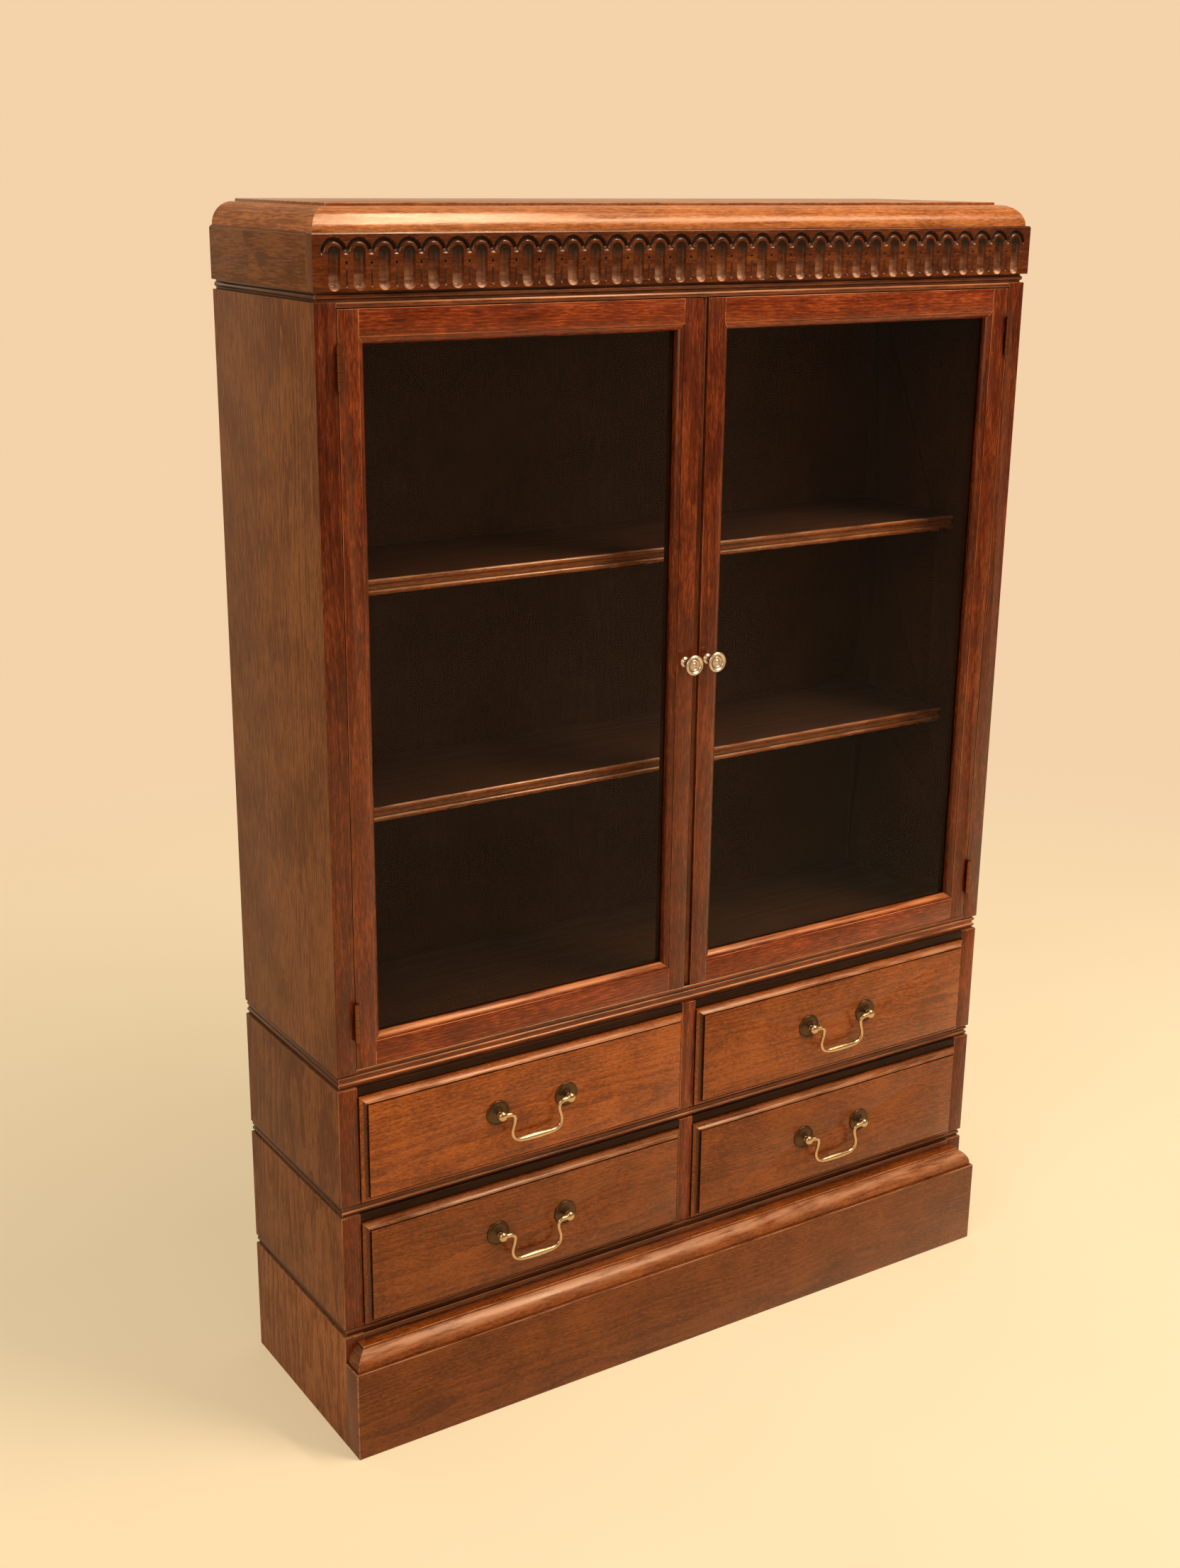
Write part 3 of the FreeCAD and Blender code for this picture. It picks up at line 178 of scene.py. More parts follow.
def grainPatterns(tree, grain, board, middle, run):
    # each board has its own place in the tree, so no grain runs on into the next
    g = oakGrain
    place = random.Random(g["seed"] + g["seedStep"] * board + ord(grain))
    turn = Euler(grainTurns[grain]).to_matrix()
    reaches = (g["placeAlong"], g["placeAcross"], g["placeAcross"])
    spot = [place.uniform(-reach, reach) for reach in reaches]
    shift = turn @ -Vector(middle) + Vector(spot)
    coords = addNode(tree, "ShaderNodeTexCoord")
    along = addNode(tree, "ShaderNodeMapping", {"Location": shift, "Rotation": grainTurns[grain]},
                    {"Vector": coords.outputs["Object"]})
    slow = addNode(tree, "ShaderNodeMapping",
                   {"Scale": (1 / g["wanderLength"], 1 / g["wanderWidth"], 1 / g["wanderWidth"])},
                   {"Vector": along.outputs[0]})
    stray = addNode(tree, "ShaderNodeTexNoise", {"Scale": 1.0, "Detail": 2.0},
                    {"Vector": slow.outputs[0]})
    centred = addNode(tree, "ShaderNodeVectorMath", {"operation": "SUBTRACT", 1: (0.5, 0.5, 0.5)},
                      {0: stray.outputs["Color"]})
    bent = addNode(tree, "ShaderNodeVectorMath",
                   {"operation": "MULTIPLY_ADD", 1: (0, 2 * g["wander"], 2 * g["wander"])},
                   {0: centred.outputs[0], 2: along.outputs[0]})
    heart = addNode(tree, "ShaderNodeMapping", {"Location": g["pith"], "Scale": (g["taper"], 1, 1)},
                    {"Vector": bent.outputs[0]})
    # a wave texture of scale 1 has a ring every 2 pi / 20
    rings = addNode(tree, "ShaderNodeTexWave",
                    {"wave_type": "RINGS", "rings_direction": "X", "wave_profile": "SAW",
                     "Scale": 2 * math.pi / 20 / g["ringWidth"], "Distortion": 0.8, "Detail": 2.0,
                     "Detail Scale": 0.4},
                    {"Vector": heart.outputs[0]})
    patterns = {"ring": rings.outputs["Fac"]}
    # flecks, bands and pores are noises drawn out along the grain
    for kind, detail in (("fleck", 3.0), ("band", 2.0), ("pore", 1.0)):
        long, wide = g[kind + "Length"], g[kind + "Width"]
        stretched = addNode(tree, "ShaderNodeMapping", {"Scale": (1 / long / run, 1 / wide, 1 / wide)},
                            {"Vector": bent.outputs[0]})
        drawn = addNode(tree, "ShaderNodeTexNoise", {"Scale": 1.0, "Detail": detail, "Roughness": 0.6},
                        {"Vector": stretched.outputs[0]})
        patterns[kind] = drawn.outputs["Fac"]
    blotches = addNode(tree, "ShaderNodeTexNoise",
                       {"Scale": 1 / g["blotch"], "Detail": 4.0, "Roughness": 0.6},
                       {"Vector": bent.outputs[0]})
    patterns["blotch"] = blotches.outputs["Fac"]
    return patterns


def cleanOak(tree, tone, patterns):
    # the figure is a sum of the patterns, and the pores lie over it
    g = oakGrain
    base = addNode(tree, "ShaderNodeMath", {"operation": "MULTIPLY", 1: g["blotchShare"]},
                   {0: patterns["blotch"]})
    figure = base.outputs[0]
    for kind, share in g["shares"].items():
        summed = addNode(tree, "ShaderNodeMath", {"operation": "MULTIPLY_ADD", 1: share},
                         {0: patterns[kind], 2: figure})
        figure = summed.outputs[0]
    spread = g["sumSpread"] / tone["contrast"]
    evened = addNode(tree, "ShaderNodeMapRange",
                     {"From Min": g["sumMiddle"] - spread, "From Max": g["sumMiddle"] + spread},
                     {"Value": figure})
    wood = addNode(tree, "ShaderNodeValToRGB",
                   {"stops": list(zip(g["toneStops"], (tone["deep"], tone["body"], tone["pale"])))},
                   {"Fac": evened.outputs[0]})
    openness = addNode(tree, "ShaderNodeMath", {"operation": "MULTIPLY_ADD", 1: g["ringPores"]},
                       {0: patterns["ring"], 2: patterns["pore"]})
    closed, opened = g["poreStops"]
    pores = addNode(tree, "ShaderNodeValToRGB", {"stops": [(closed, 0.0), (opened, tone["pores"])]},
                    {"Fac": openness.outputs[0]})
    pored = addNode(tree, "ShaderNodeMix", {"data_type": "RGBA", 7: tone["pore"]},
                    {0: pores.outputs["Color"], 6: wood.outputs["Color"]})
    return pored.outputs[2], pores.outputs["Color"]


def oak(look, grain, board, middle=(0, 0, 0), shade=1.0):
    key = (look, grain, board)
    if key in oakMade:
        return oakMade[key]
    g = oakGrain
    tone = dict(oakLooks[look])
    for part in ("pale", "body", "deep", "pore", "worn", "grime"):
        tone[part] = (*[value * shade for value in linear(tone[part])[:3]], 1.0)
    material, tree = newMaterial("oak_%s_%s_%d" % (look, grain.lower(), board))
    patterns = grainPatterns(tree, grain, board, middle, tone["run"])
    clean, pores = cleanOak(tree, tone, patterns)

    # rubbed edges: the eased arrises carry 1 in this face value, and slopes that face
    # up and the feet of the flutes carry painted highlight in it; both come in patches
    rubbed = addNode(tree, "ShaderNodeValToRGB", {"stops": g["wearAndHighlightStops"]}, {"Fac": patterns["band"]})
    wearAndHighlightValue = addNode(tree, "ShaderNodeAttribute", {"attribute_name": "worn"})
    wearAndHighlightShare = addNode(tree, "ShaderNodeMath", {"operation": "MULTIPLY"},
                   {0: rubbed.outputs["Color"], 1: wearAndHighlightValue.outputs["Fac"]})
    worn = addNode(tree, "ShaderNodeMix", {"data_type": "RGBA", 7: tone["worn"]},
                   {0: wearAndHighlightShare.outputs[0], 6: clean})

    # grime and painted shade: the hollows darken by ambient occlusion, as polish
    # and dust left there and as shade; the neighbours of a reeded board count too,
    # so the gaps between the storeys are painted black as shade
    hollow = addNode(tree, "ShaderNodeAmbientOcclusion",
                     {"samples": 8, "only_local": look != "reeds", "Distance": g["grimeAndShadeReach"]})
    grimeAndShadeMask = addNode(tree, "ShaderNodeValToRGB",
                        {"stops": [(tone["hollow"], 1.0), (tone["hollow"] + g["grimeAndShadeFade"], 0.0)]},
                        {"Fac": hollow.outputs["AO"]})
    grimeAndShadeShare = grimeAndShadeMask.outputs["Color"]
    if look == "carved":
        # the heads of the flutes carry a value of their own: painted shadow under the arches
        headShadeValue = addNode(tree, "ShaderNodeAttribute", {"attribute_name": "grime"})
        greater = addNode(tree, "ShaderNodeMath", {"operation": "MAXIMUM"},
                          {0: grimeAndShadeShare, 1: headShadeValue.outputs["Fac"]})
        grimeAndShadeShare = greater.outputs[0]
    grimedAndShaded = addNode(tree, "ShaderNodeMix", {"data_type": "RGBA", 7: tone["grime"]},
                    {0: grimeAndShadeShare, 6: worn.outputs[2]})

    (low, high), (less, more) = g["glossBands"]
    gloss = addNode(tree, "ShaderNodeMapRange",
                    {"From Min": low, "From Max": high,
                     "To Min": tone["rough"] + less, "To Max": tone["rough"] + more},
                    {"Value": patterns["band"]})
    rough = addNode(tree, "ShaderNodeMath", {"operation": "MULTIPLY_ADD", 1: g["grimeAndShadeRough"]},
                    {0: grimeAndShadeShare, 2: gloss.outputs[0]})
    relief = addNode(tree, "ShaderNodeMath", {"operation": "MULTIPLY_ADD", 1: g["poreRelief"]},
                     {0: pores, 2: patterns["fleck"]})
    bump = addNode(tree, "ShaderNodeBump", {"Strength": g["reliefStrength"], "Distance": g["relief"]},
                   {"Height": relief.outputs[0]})
    shader = addNode(tree, "ShaderNodeBsdfPrincipled",
                     {"Specular IOR Level": tone["shine"], "Specular Tint": linear(g["waxTint"])},
                     {"Base Color": grimedAndShaded.outputs[2], "Roughness": rough.outputs[0],
                      "Normal": bump.outputs[0]})
    addNode(tree, "ShaderNodeOutputMaterial", None, {"Surface": shader.outputs[0]})
    oakMade[key] = material
    return material


# Brass: turned and polished, with brown tarnish left in its grooves. The eye
# sees a warm pale metal that darkens where no hand rubs it.
# patch: tarnish patches to the metre; clean: the tarnish left where it is rubbed

brassLooks = {
    "bright": {"metal": "#E2CCB6", "tarnish": "#54402F", "rough": 0.32, "clean": 0.10, "patch": 90.0},
    "rubbed": {"metal": "#DCBC90", "tarnish": "#5C4026", "rough": 0.26, "clean": 0.20, "patch": 110.0},
    "dark": {"metal": "#6A523C", "tarnish": "#2A1C12", "rough": 0.30, "clean": 0.35, "patch": 60.0},
    "stained": {"metal": "#8E5634", "tarnish": "#34180C", "rough": 0.30, "clean": 0.30, "patch": 80.0},
}
# scuffs of 1 mm are coarser than real ones, so that they show
brassSkin = {"grooveReach": 3 * mm, "patchShare": 0.45, "coverStops": (0.70, 1.0), "tarnishRough": 0.25,
             "scuffs": 900.0, "scuffDepth": 0.05 * mm, "scuffStrength": 0.15}


def brass(look):
    tone = brassLooks[look]
    s = brassSkin
    material, tree = newMaterial("brass_" + look)
    coords = addNode(tree, "ShaderNodeTexCoord")
    patches = addNode(tree, "ShaderNodeTexNoise", {"Scale": tone["patch"], "Detail": 4.0},
                      {"Vector": coords.outputs["Object"]})
    hollow = addNode(tree, "ShaderNodeAmbientOcclusion",
                     {"samples": 8, "only_local": True, "Distance": s["grooveReach"]})
    shade = addNode(tree, "ShaderNodeMath", {"operation": "MULTIPLY_ADD", 1: s["patchShare"]},
                    {0: patches.outputs["Fac"], 2: hollow.outputs["AO"]})
    covered, bare = s["coverStops"]
    cover = addNode(tree, "ShaderNodeValToRGB", {"stops": [(covered, 1.0), (bare, tone["clean"])]},
                    {"Fac": shade.outputs[0]})
    colour = addNode(tree, "ShaderNodeMix",
                     {"data_type": "RGBA", 6: linear(tone["metal"]), 7: linear(tone["tarnish"])},
                     {0: cover.outputs["Color"]})
    rough = addNode(tree, "ShaderNodeMapRange",
                    {"To Min": tone["rough"], "To Max": tone["rough"] + s["tarnishRough"]},
                    {"Value": cover.outputs["Color"]})
    scuffs = addNode(tree, "ShaderNodeTexNoise", {"Scale": s["scuffs"], "Detail": 2.0},
                     {"Vector": coords.outputs["Object"]})
    bump = addNode(tree, "ShaderNodeBump", {"Strength": s["scuffStrength"], "Distance": s["scuffDepth"]},
                   {"Height": scuffs.outputs["Fac"]})
    shader = addNode(tree, "ShaderNodeBsdfPrincipled", {"Metallic": 1.0},
                     {"Base Color": colour.outputs[2], "Roughness": rough.outputs[0],
                      "Normal": bump.outputs[0]})
    addNode(tree, "ShaderNodeOutputMaterial", None, {"Surface": shader.outputs[0]})
    return material


# Drawn sheet glass: clear and very slightly wavy. The eye sees the dark inside
# and a faint gleam of the floor: a low index stands for the dim room in front.

pane = {"clear": "#F8F9F6", "smeared": "#F0F2EC", "index": 1.12, "smears": 5.0,
        "waves": 9.0, "waveDepth": 0.5 * mm, "waveStrength": 0.02}


def sheetGlass():
    material, tree = newMaterial("sheet_glass")
    coords = addNode(tree, "ShaderNodeTexCoord")
    waves = addNode(tree, "ShaderNodeTexNoise", {"Scale": pane["waves"], "Detail": 1.0},
                    {"Vector": coords.outputs["Object"]})
    smears = addNode(tree, "ShaderNodeTexNoise", {"Scale": pane["smears"], "Detail": 4.0},
                     {"Vector": coords.outputs["Object"]})
    tint = addNode(tree, "ShaderNodeValToRGB",
                   {"stops": [(0.35, linear(pane["clear"])), (0.70, linear(pane["smeared"]))]},
                   {"Fac": smears.outputs["Fac"]})
    bump = addNode(tree, "ShaderNodeBump",
                   {"Strength": pane["waveStrength"], "Distance": pane["waveDepth"]},
                   {"Height": waves.outputs["Fac"]})
    shader = addNode(tree, "ShaderNodeBsdfPrincipled",
                     {"Transmission Weight": 1.0, "IOR": pane["index"], "Roughness": 0.0},
                     {"Base Color": tint.outputs["Color"], "Normal": bump.outputs[0]})
    # lamplight, and the light that wood throws back, go straight through a pane
    clear = addNode(tree, "ShaderNodeBsdfTransparent")
    path = addNode(tree, "ShaderNodeLightPath")
    through = addNode(tree, "ShaderNodeMath", {"operation": "MAXIMUM"},
                      {0: path.outputs["Is Shadow Ray"], 1: path.outputs["Is Diffuse Ray"]})
    both = addNode(tree, "ShaderNodeMixShader", None,
                   {0: through.outputs[0], 1: shader.outputs[0], 2: clear.outputs[0]})
    addNode(tree, "ShaderNodeOutputMaterial", None, {"Surface": both.outputs[0]})
    return material


brightBrass = brass("bright")
rubbedBrass = brass("rubbed")
darkBrass = brass("dark")
stainedBrass = brass("stained")
clearGlass = sheetGlass()
print("stage: metals and glass")


# Pieces

def finishMesh(bm, name, materials, body, stands):
    # a piece that rides on a body and stands for the CAD nodes in "stands"
    mesh = bpy.data.meshes.new(name)
    bm.to_mesh(mesh)
    bm.free()
    piece = bpy.data.objects.new(name, mesh)
    bpy.context.scene.collection.objects.link(piece)
    for material in materials:
        mesh.materials.append(material)
    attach(piece, body)
    if stands:
        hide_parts(*stands)


def shadeByAngle(bm, limit):
    for face in bm.faces:
        face.smooth = True
    for edge in bm.edges:
        edge.smooth = edge.is_manifold and edge.calc_face_angle() < limit


def stepUp(value, low, high):
    # from 0 at low to 1 at high, with soft ends
    share = min(max((value - low) / (high - low), 0.0), 1.0)
    return share * share * (3 - 2 * share)


def bodyOf(node):
    for name, members in frame["record"]["behaviour"]["bodies"].items():
        if node in members:
            return name
    return "root"


# The boards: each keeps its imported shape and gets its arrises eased, as a
# plane and years of dusting leave them.
# node: (look, grain, slot, width of the eased arris in mm, shade)

boards = {
    "plinth_sides": ("side", "Z", "side_oak", 0.6, 1.2),
    "plinth_rails": ("reeds", "X", "plain_oak", 0.3, 0.7),
    "plinth_front_board": ("front", "X", "polished_oak", 0.9, 0.50),
    "plinth_moulding": ("front", "X", "polished_oak", 0.4, 0.75),
    "plinth_lid_board": ("reeds", "X", "polished_oak", 0.3, 0.8),
    "lower_unit_sides": ("side", "Z", "side_oak", 0.6, 0.88),
    "lower_unit_divider": ("frame", "Z", "polished_oak", 0.4, 1.0),
    # both unit rails take the dark inner oak: painted shade for the shadow under the reeded boards above
    # them
    "lower_unit_rails": ("inner", "X", "inner_oak", 0.3, 0.8),
    "middle_joint_board": ("reeds", "X", "polished_oak", 0.3, 1.0),
    "upper_unit_sides": ("side", "Z", "side_oak", 0.6, 0.78),
    "upper_unit_divider": ("frame", "Z", "polished_oak", 0.4, 1.1),
    "upper_unit_rails": ("inner", "X", "inner_oak", 0.3, 0.8),
    "cabinet_base_board": ("reeds", "X", "polished_oak", 0.3, 1.3),
    "cabinet_side_left": ("side", "Z", "side_oak", 0.6, 0.87),
    "cabinet_side_right": ("side", "Z", "side_oak", 0.6, 0.87),
    "cabinet_floor": ("reeds", "X", "inner_oak", 0.3, 1.2),
    "cabinet_head": ("reeds", "X", "inner_oak", 0.3, 1.0),
    "shelf_lower": ("front", "X", "inner_oak", 0.4, 0.6),
    "shelf_upper": ("front", "X", "inner_oak", 0.4, 0.6),
    "cabinet_top_board": ("reeds", "X", "polished_oak", 0.3, 1.0),
    "frieze_frame": ("side", "Y", "side_oak", 0.4, 0.75),
    "cornice_moulding": ("golden", "X", "polished_oak", 0.0, 1.0),
    "cornice_top_board": ("front", "X", "side_oak", 0.5, 0.8),
    "lower_unit_back": ("inner", "X", "inner_oak", 0.0, 1.0),
    "upper_unit_back": ("inner", "X", "inner_oak", 0.0, 1.0),
    "cabinet_back": ("inner", "Z", "inner_oak", 0.0, 1.0),
}
hands = ("left", "right")
for hand in hands:
    boards["door_%s_hinge_stile" % hand] = ("frame", "Z", "polished_oak", 0.4, 0.72)
    boards["door_%s_meeting_stile" % hand] = ("frame", "Z", "polished_oak", 0.3, 0.70)
    boards["door_%s_rails" % hand] = ("frame", "X", "polished_oak", 0.4, 1.2)
drawerShades = {"upper_left": 0.92, "upper_right": 0.80, "lower_left": 0.59, "lower_right": 0.66}
for place, shade in drawerShades.items():
    boards["drawer_%s_front" % place] = ("front", "X", "polished_oak", 0.4, shade)

# the cabinet's pilasters, high up, are darker than the drawer units': painted shade where the light falls
# off towards the top
pilasterShades = {"plinth_sides": 0.6, "lower_unit_sides": 0.75, "upper_unit_sides": 0.8,
                  "cabinet_side_left": 0.6, "cabinet_side_right": 0.65}
# shades of the faces that take another oak than the rest of their board
faceShades = {"behindNose": 1.2, "reedSides": 0.35, "drawerEnds": 0.6, "caseBack": 0.6}
# boards of which only the front edge shows and is polished
noses = ("cabinet_floor", "cabinet_head", "shelf_lower", "shelf_upper")
# width in mm of the strip at each side whose grain turns at the mitre, and its shade
mitredReturns = {"cornice_moulding": (32.0, 1.8), "plinth_moulding": (30.0, 0.75)}

# angles in degrees; the other limits are parts of a face's unit normal
easing = {"weld": 0.005 * mm, "flatAngle": 0.6, "sharpAngle": 35, "smoothAngle": 25, "segments": 2,
          "facing": 0.7, "endFacing": 0.6, "noseFacing": -0.3,
          "upHighlight": {"front": 0.65, "frame": 0.75, "reeds": 0.8}, "upFacing": (0.1, 0.75),
          "slopes": (-0.97, -0.1)}


def easeArrises(bm, width, low, high, worn):
    sharp = math.radians(easing["sharpAngle"])
    arrises = []
    for edge in bm.edges:
        if edge.is_manifold and edge.is_convex and edge.calc_face_angle() > sharp:
            arrises.append(edge)
    made = bmesh.ops.bevel(bm, geom=arrises, offset=width * mm, offset_type="OFFSET",
                           segments=easing["segments"], profile=0.5, affect="EDGES", material=-1,
                           clamp_overlap=True)
    for face in made["faces"]:
        face[worn] = 1.0
    for vert in bm.verts:
        vert.co = [min(max(vert.co[axis], low[axis]), high[axis]) for axis in range(3)]


def faceRules(node, look, grain, shade, number, middle):
    # which faces take another oak, by their normal and how far they look away
    # from the middle of the case; the first rule that fits a face holds
    facing = easing["facing"]
    if look == "side" and grain == "Z":
        # the front edge is polished like the doors, and the inside is dark
        edge = oak("frame", grain, number, middle, pilasterShades[node])
        return [(lambda normal, aside: normal.y < -facing, edge),
                (lambda normal, aside: aside < -facing, oak("inner", grain, number, middle))]
    if node in noses:
        behind = oak("inner", grain, number, middle, faceShades["behindNose"])
        return [(lambda normal, aside: normal.y >= easing["noseFacing"], behind)]
    if look == "reeds":
        # the ends of a reeded board, at both sides of the case, are much darker
        black = oak(look, "Y", number, middle, faceShades["reedSides"] * shade)
        return [(lambda normal, aside: abs(aside) > facing, black)]
    if node.endswith("_front"):
        # a drawer front is bare behind, and its end grain drinks more stain
        ends = oak("reeds", grain, number, middle, faceShades["drawerEnds"])
        return [(lambda normal, aside: normal.y > facing, oak("plain", grain, number, middle)),
                (lambda normal, aside: abs(aside) > easing["endFacing"], ends)]
    if node.endswith("_back"):
        outside = oak("side", grain, number, middle, faceShades["caseBack"])
        return [(lambda normal, aside: normal.y > facing, outside)]
    return []


def easedBoard(node, number):
    look, grain, slot, width, shade = boards[node]
    low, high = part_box(node)
    middle = (low + high) / 2
    bm = bmesh.new()
    bm.from_mesh(cadNodes[node].data)
    bmesh.ops.remove_doubles(bm, verts=bm.verts, dist=easing["weld"])
    bmesh.ops.dissolve_limit(bm, angle_limit=math.radians(easing["flatAngle"]), verts=bm.verts,
                             edges=bm.edges)
    worn = bm.faces.layers.float.new("worn")
    if width:
        easeArrises(bm, width, low, high, worn)
    if look in easing["upHighlight"]:
        # painted highlight: slopes that look up and to the front, where the light from above falls, take
        # the pale colour
        most, least = easing["slopes"]
        for face in bm.faces:
            if most < face.normal.y < least:
                upward = stepUp(face.normal.z, *easing["upFacing"])
                face[worn] = max(face[worn], easing["upHighlight"][look] * upward)
    shadeByAngle(bm, math.radians(easing["smoothAngle"]))
    materials = [oak(look, grain, number, middle, shade)]
    rules = faceRules(node, look, grain, shade, number, middle)
    for fits, finish in rules:
        materials.append(finish)
    for face in bm.faces:
        aside = face.normal.x * math.copysign(1, face.calc_center_median().x)
        fitting = [index for index, (fits, finish) in enumerate(rules, 1) if fits(face.normal, aside)]
        face.material_index = fitting[0] if fitting else 0
    if node in mitredReturns:
        strip, returnShade = mitredReturns[node]
        materials.append(oak("side", "Y", number, middle, returnShade))
        for face in bm.faces:
            centre = face.calc_center_median()
            inward = min(centre.x - low.x, high.x - centre.x)
            if inward < strip * mm and inward < centre.y - low.y:
                face.material_index = len(materials) - 1
    finishMesh(bm, node + "_oak", materials, bodyOf(node), [node])


for number, node in enumerate(boards):
    easedBoard(node, number)
print("stage: boards eased")


# The frieze board: thirty-four gouged flutes, each under a round arch cut in
# with a V tool, with a drilled dot and a short vein between each two. Lengths
# in mm: levels in the cut from the middle of a flute's head, and those of the
# vein and the dot down from the board's top.

carving = {
    "flutes": 34, "margin": 20.6, "radius": 5.9, "foot": 0.5, "head": 11.0, "depth": 4.6,
    "steep": 3.4, "scoop": 1.5,
    "ribEdge": 8.5, "cutBottom": 10.9, "cutRim": 12.3, "cutLift": 1.1, "cutWall": 2.0, "cutDepth": 3.6,
    "cutEnd": -1.8, "cutFull": 2.4,
    "veinTop": 27.2, "veinFoot": 46.2, "veinHalf": 1.6, "veinDepth": 1.8,
    "veinSoft": 1, "veinRise": 6, "veinStop": 1.6,
    "dotLevel": 25.4, "dotRadius": 1.5, "dotDepth": 2.4, "dotFlat": 0.3,
    "bevel": 1.2, "columns": 36, "rows": 72, "snap": 0.5, "smoothAngle": 42, "endStrip": 0.5,
    # painted highlight at the feet and painted shadow in the heads, by the share of a flute's height
    "footHighlight": 1.4, "footFade": 4, "headShade": 0.9, "headShadeFull": 0.10, "headShadeEnd": 0.42, "shade": 0.68,
}


def nearFlute(across, up, half, height, pitch):
    # the nearest flute, its middle, the nearest level on its core line, and the way out from there
    c = carving
    number = min(max(round((across + half - c["margin"]) / pitch), 0), c["flutes"] - 1)
    middle = c["margin"] - half + number * pitch
    core = min(max(up, c["foot"] + c["radius"]), height - c["head"] - c["radius"])
    return number, middle, core, math.hypot(across - middle, up - core)


def cutDepth(aside, up, core, out, height, pitch, between):
    # how deep the carver went at a place
    c = carving
    if out < c["radius"]:
        # steep at the sides and the head, scooped out gently at the foot
        steep = c["steep"] - (c["steep"] - c["scoop"]) * max(core - up, 0) / c["radius"]
        return c["depth"] * (1 - (out / c["radius"]) ** steep)
    over = up - (height - c["head"] - c["radius"])
    rim = c["cutLift"] + math.sqrt(max(c["cutRim"] ** 2 - aside ** 2, 0.0))
    inner = (math.hypot(aside, over) - c["ribEdge"]) / (c["cutBottom"] - c["ribEdge"])
    outer = (rim - over) / c["cutWall"]
    arch = c["cutDepth"] * stepUp(over, c["cutEnd"], c["cutFull"]) * min(max(min(inner, outer), 0.0), 1.0)
    if not between:
        return arch
    gap = pitch / 2 - abs(aside)
    down = height - up
    vein = 0.0
    if gap < c["veinHalf"]:
        rise = stepUp(down, c["veinTop"] - c["veinSoft"], c["veinTop"] + c["veinRise"])
        ends = rise * stepUp(-down, -c["veinFoot"], -c["veinFoot"] + c["veinStop"])
        vein = c["veinDepth"] * (1 - gap / c["veinHalf"]) * ends
    toRim = -math.hypot(gap, down - c["dotLevel"])
    dot = c["dotDepth"] * stepUp(toRim, -c["dotRadius"], -c["dotFlat"] * c["dotRadius"])
    return max(arch, vein, dot)


def carveFace(bm, low, half, height, pitch):
    # a fine grid stood up as the board's face, each point pushed in to the carver's depth
    c = carving
    columns = round(2 * half / pitch * c["columns"])
    cell = 2 * half / columns
    snap = c["snap"] * cell
    bmesh.ops.create_grid(bm, x_segments=columns, y_segments=c["rows"], size=1)
    for vert in bm.verts:
        up = (vert.co.y + 1) / 2 * height
        number, middle, core, out = nearFlute(vert.co.x * half, up, half, height, pitch)
        aside = vert.co.x * half - middle
        above = height - c["head"] - c["radius"] + c["cutLift"]
        rim = math.hypot(aside, up - above)
        # bring the nearest points onto the rims of the flute and of the cut, to make both clean curves
        if 0 < abs(out - c["radius"]) < snap:
            aside *= c["radius"] / out
            up = core + (up - core) * c["radius"] / out
            out = c["radius"]
        elif up > above and abs(rim - c["cutRim"]) < snap and abs(aside) < pitch / 2 - cell:
            aside *= c["cutRim"] / rim
            up = above + (up - above) * c["cutRim"] / rim
        isMargin = abs(aside) > pitch / 2 + snap
        isEnd = number == 0 and aside < 0 or number == c["flutes"] - 1 and aside > 0
        depth = 0.0 if isMargin else cutDepth(aside, up, core, out, height, pitch, not isEnd)
        chamfer = max(up - (height - c["bevel"]), 0.0)
        inward = (half - chamfer) / half
        vert.co = ((middle + aside) * inward * mm, low.y + (depth + chamfer) * mm, low.z + up * mm)


def paintFluteLight(bm, low, half, height, pitch):
    # painted light: a highlight at the feet of the flutes, which scoop up towards the light, and a
    # painted shadow in their heads
    c = carving
    worn = bm.faces.layers.float.new("worn")
    grime = bm.faces.layers.float.new("grime")
    for face in bm.faces:
        centre = face.calc_center_median()
        up = (centre.z - low.z) / mm
        _, middle, _, out = nearFlute(centre.x / mm, up, half, height, pitch)
        if out < c["radius"]:
            down = 1 - up / (height - c["head"])
            acrossFlute = 1 - ((centre.x / mm - middle) / c["radius"]) ** 2
            face[worn] = c["footHighlight"] * down ** c["footFade"] * acrossFlute
            face[grime] = c["headShade"] * stepUp(-down, -c["headShadeEnd"], -c["headShadeFull"])


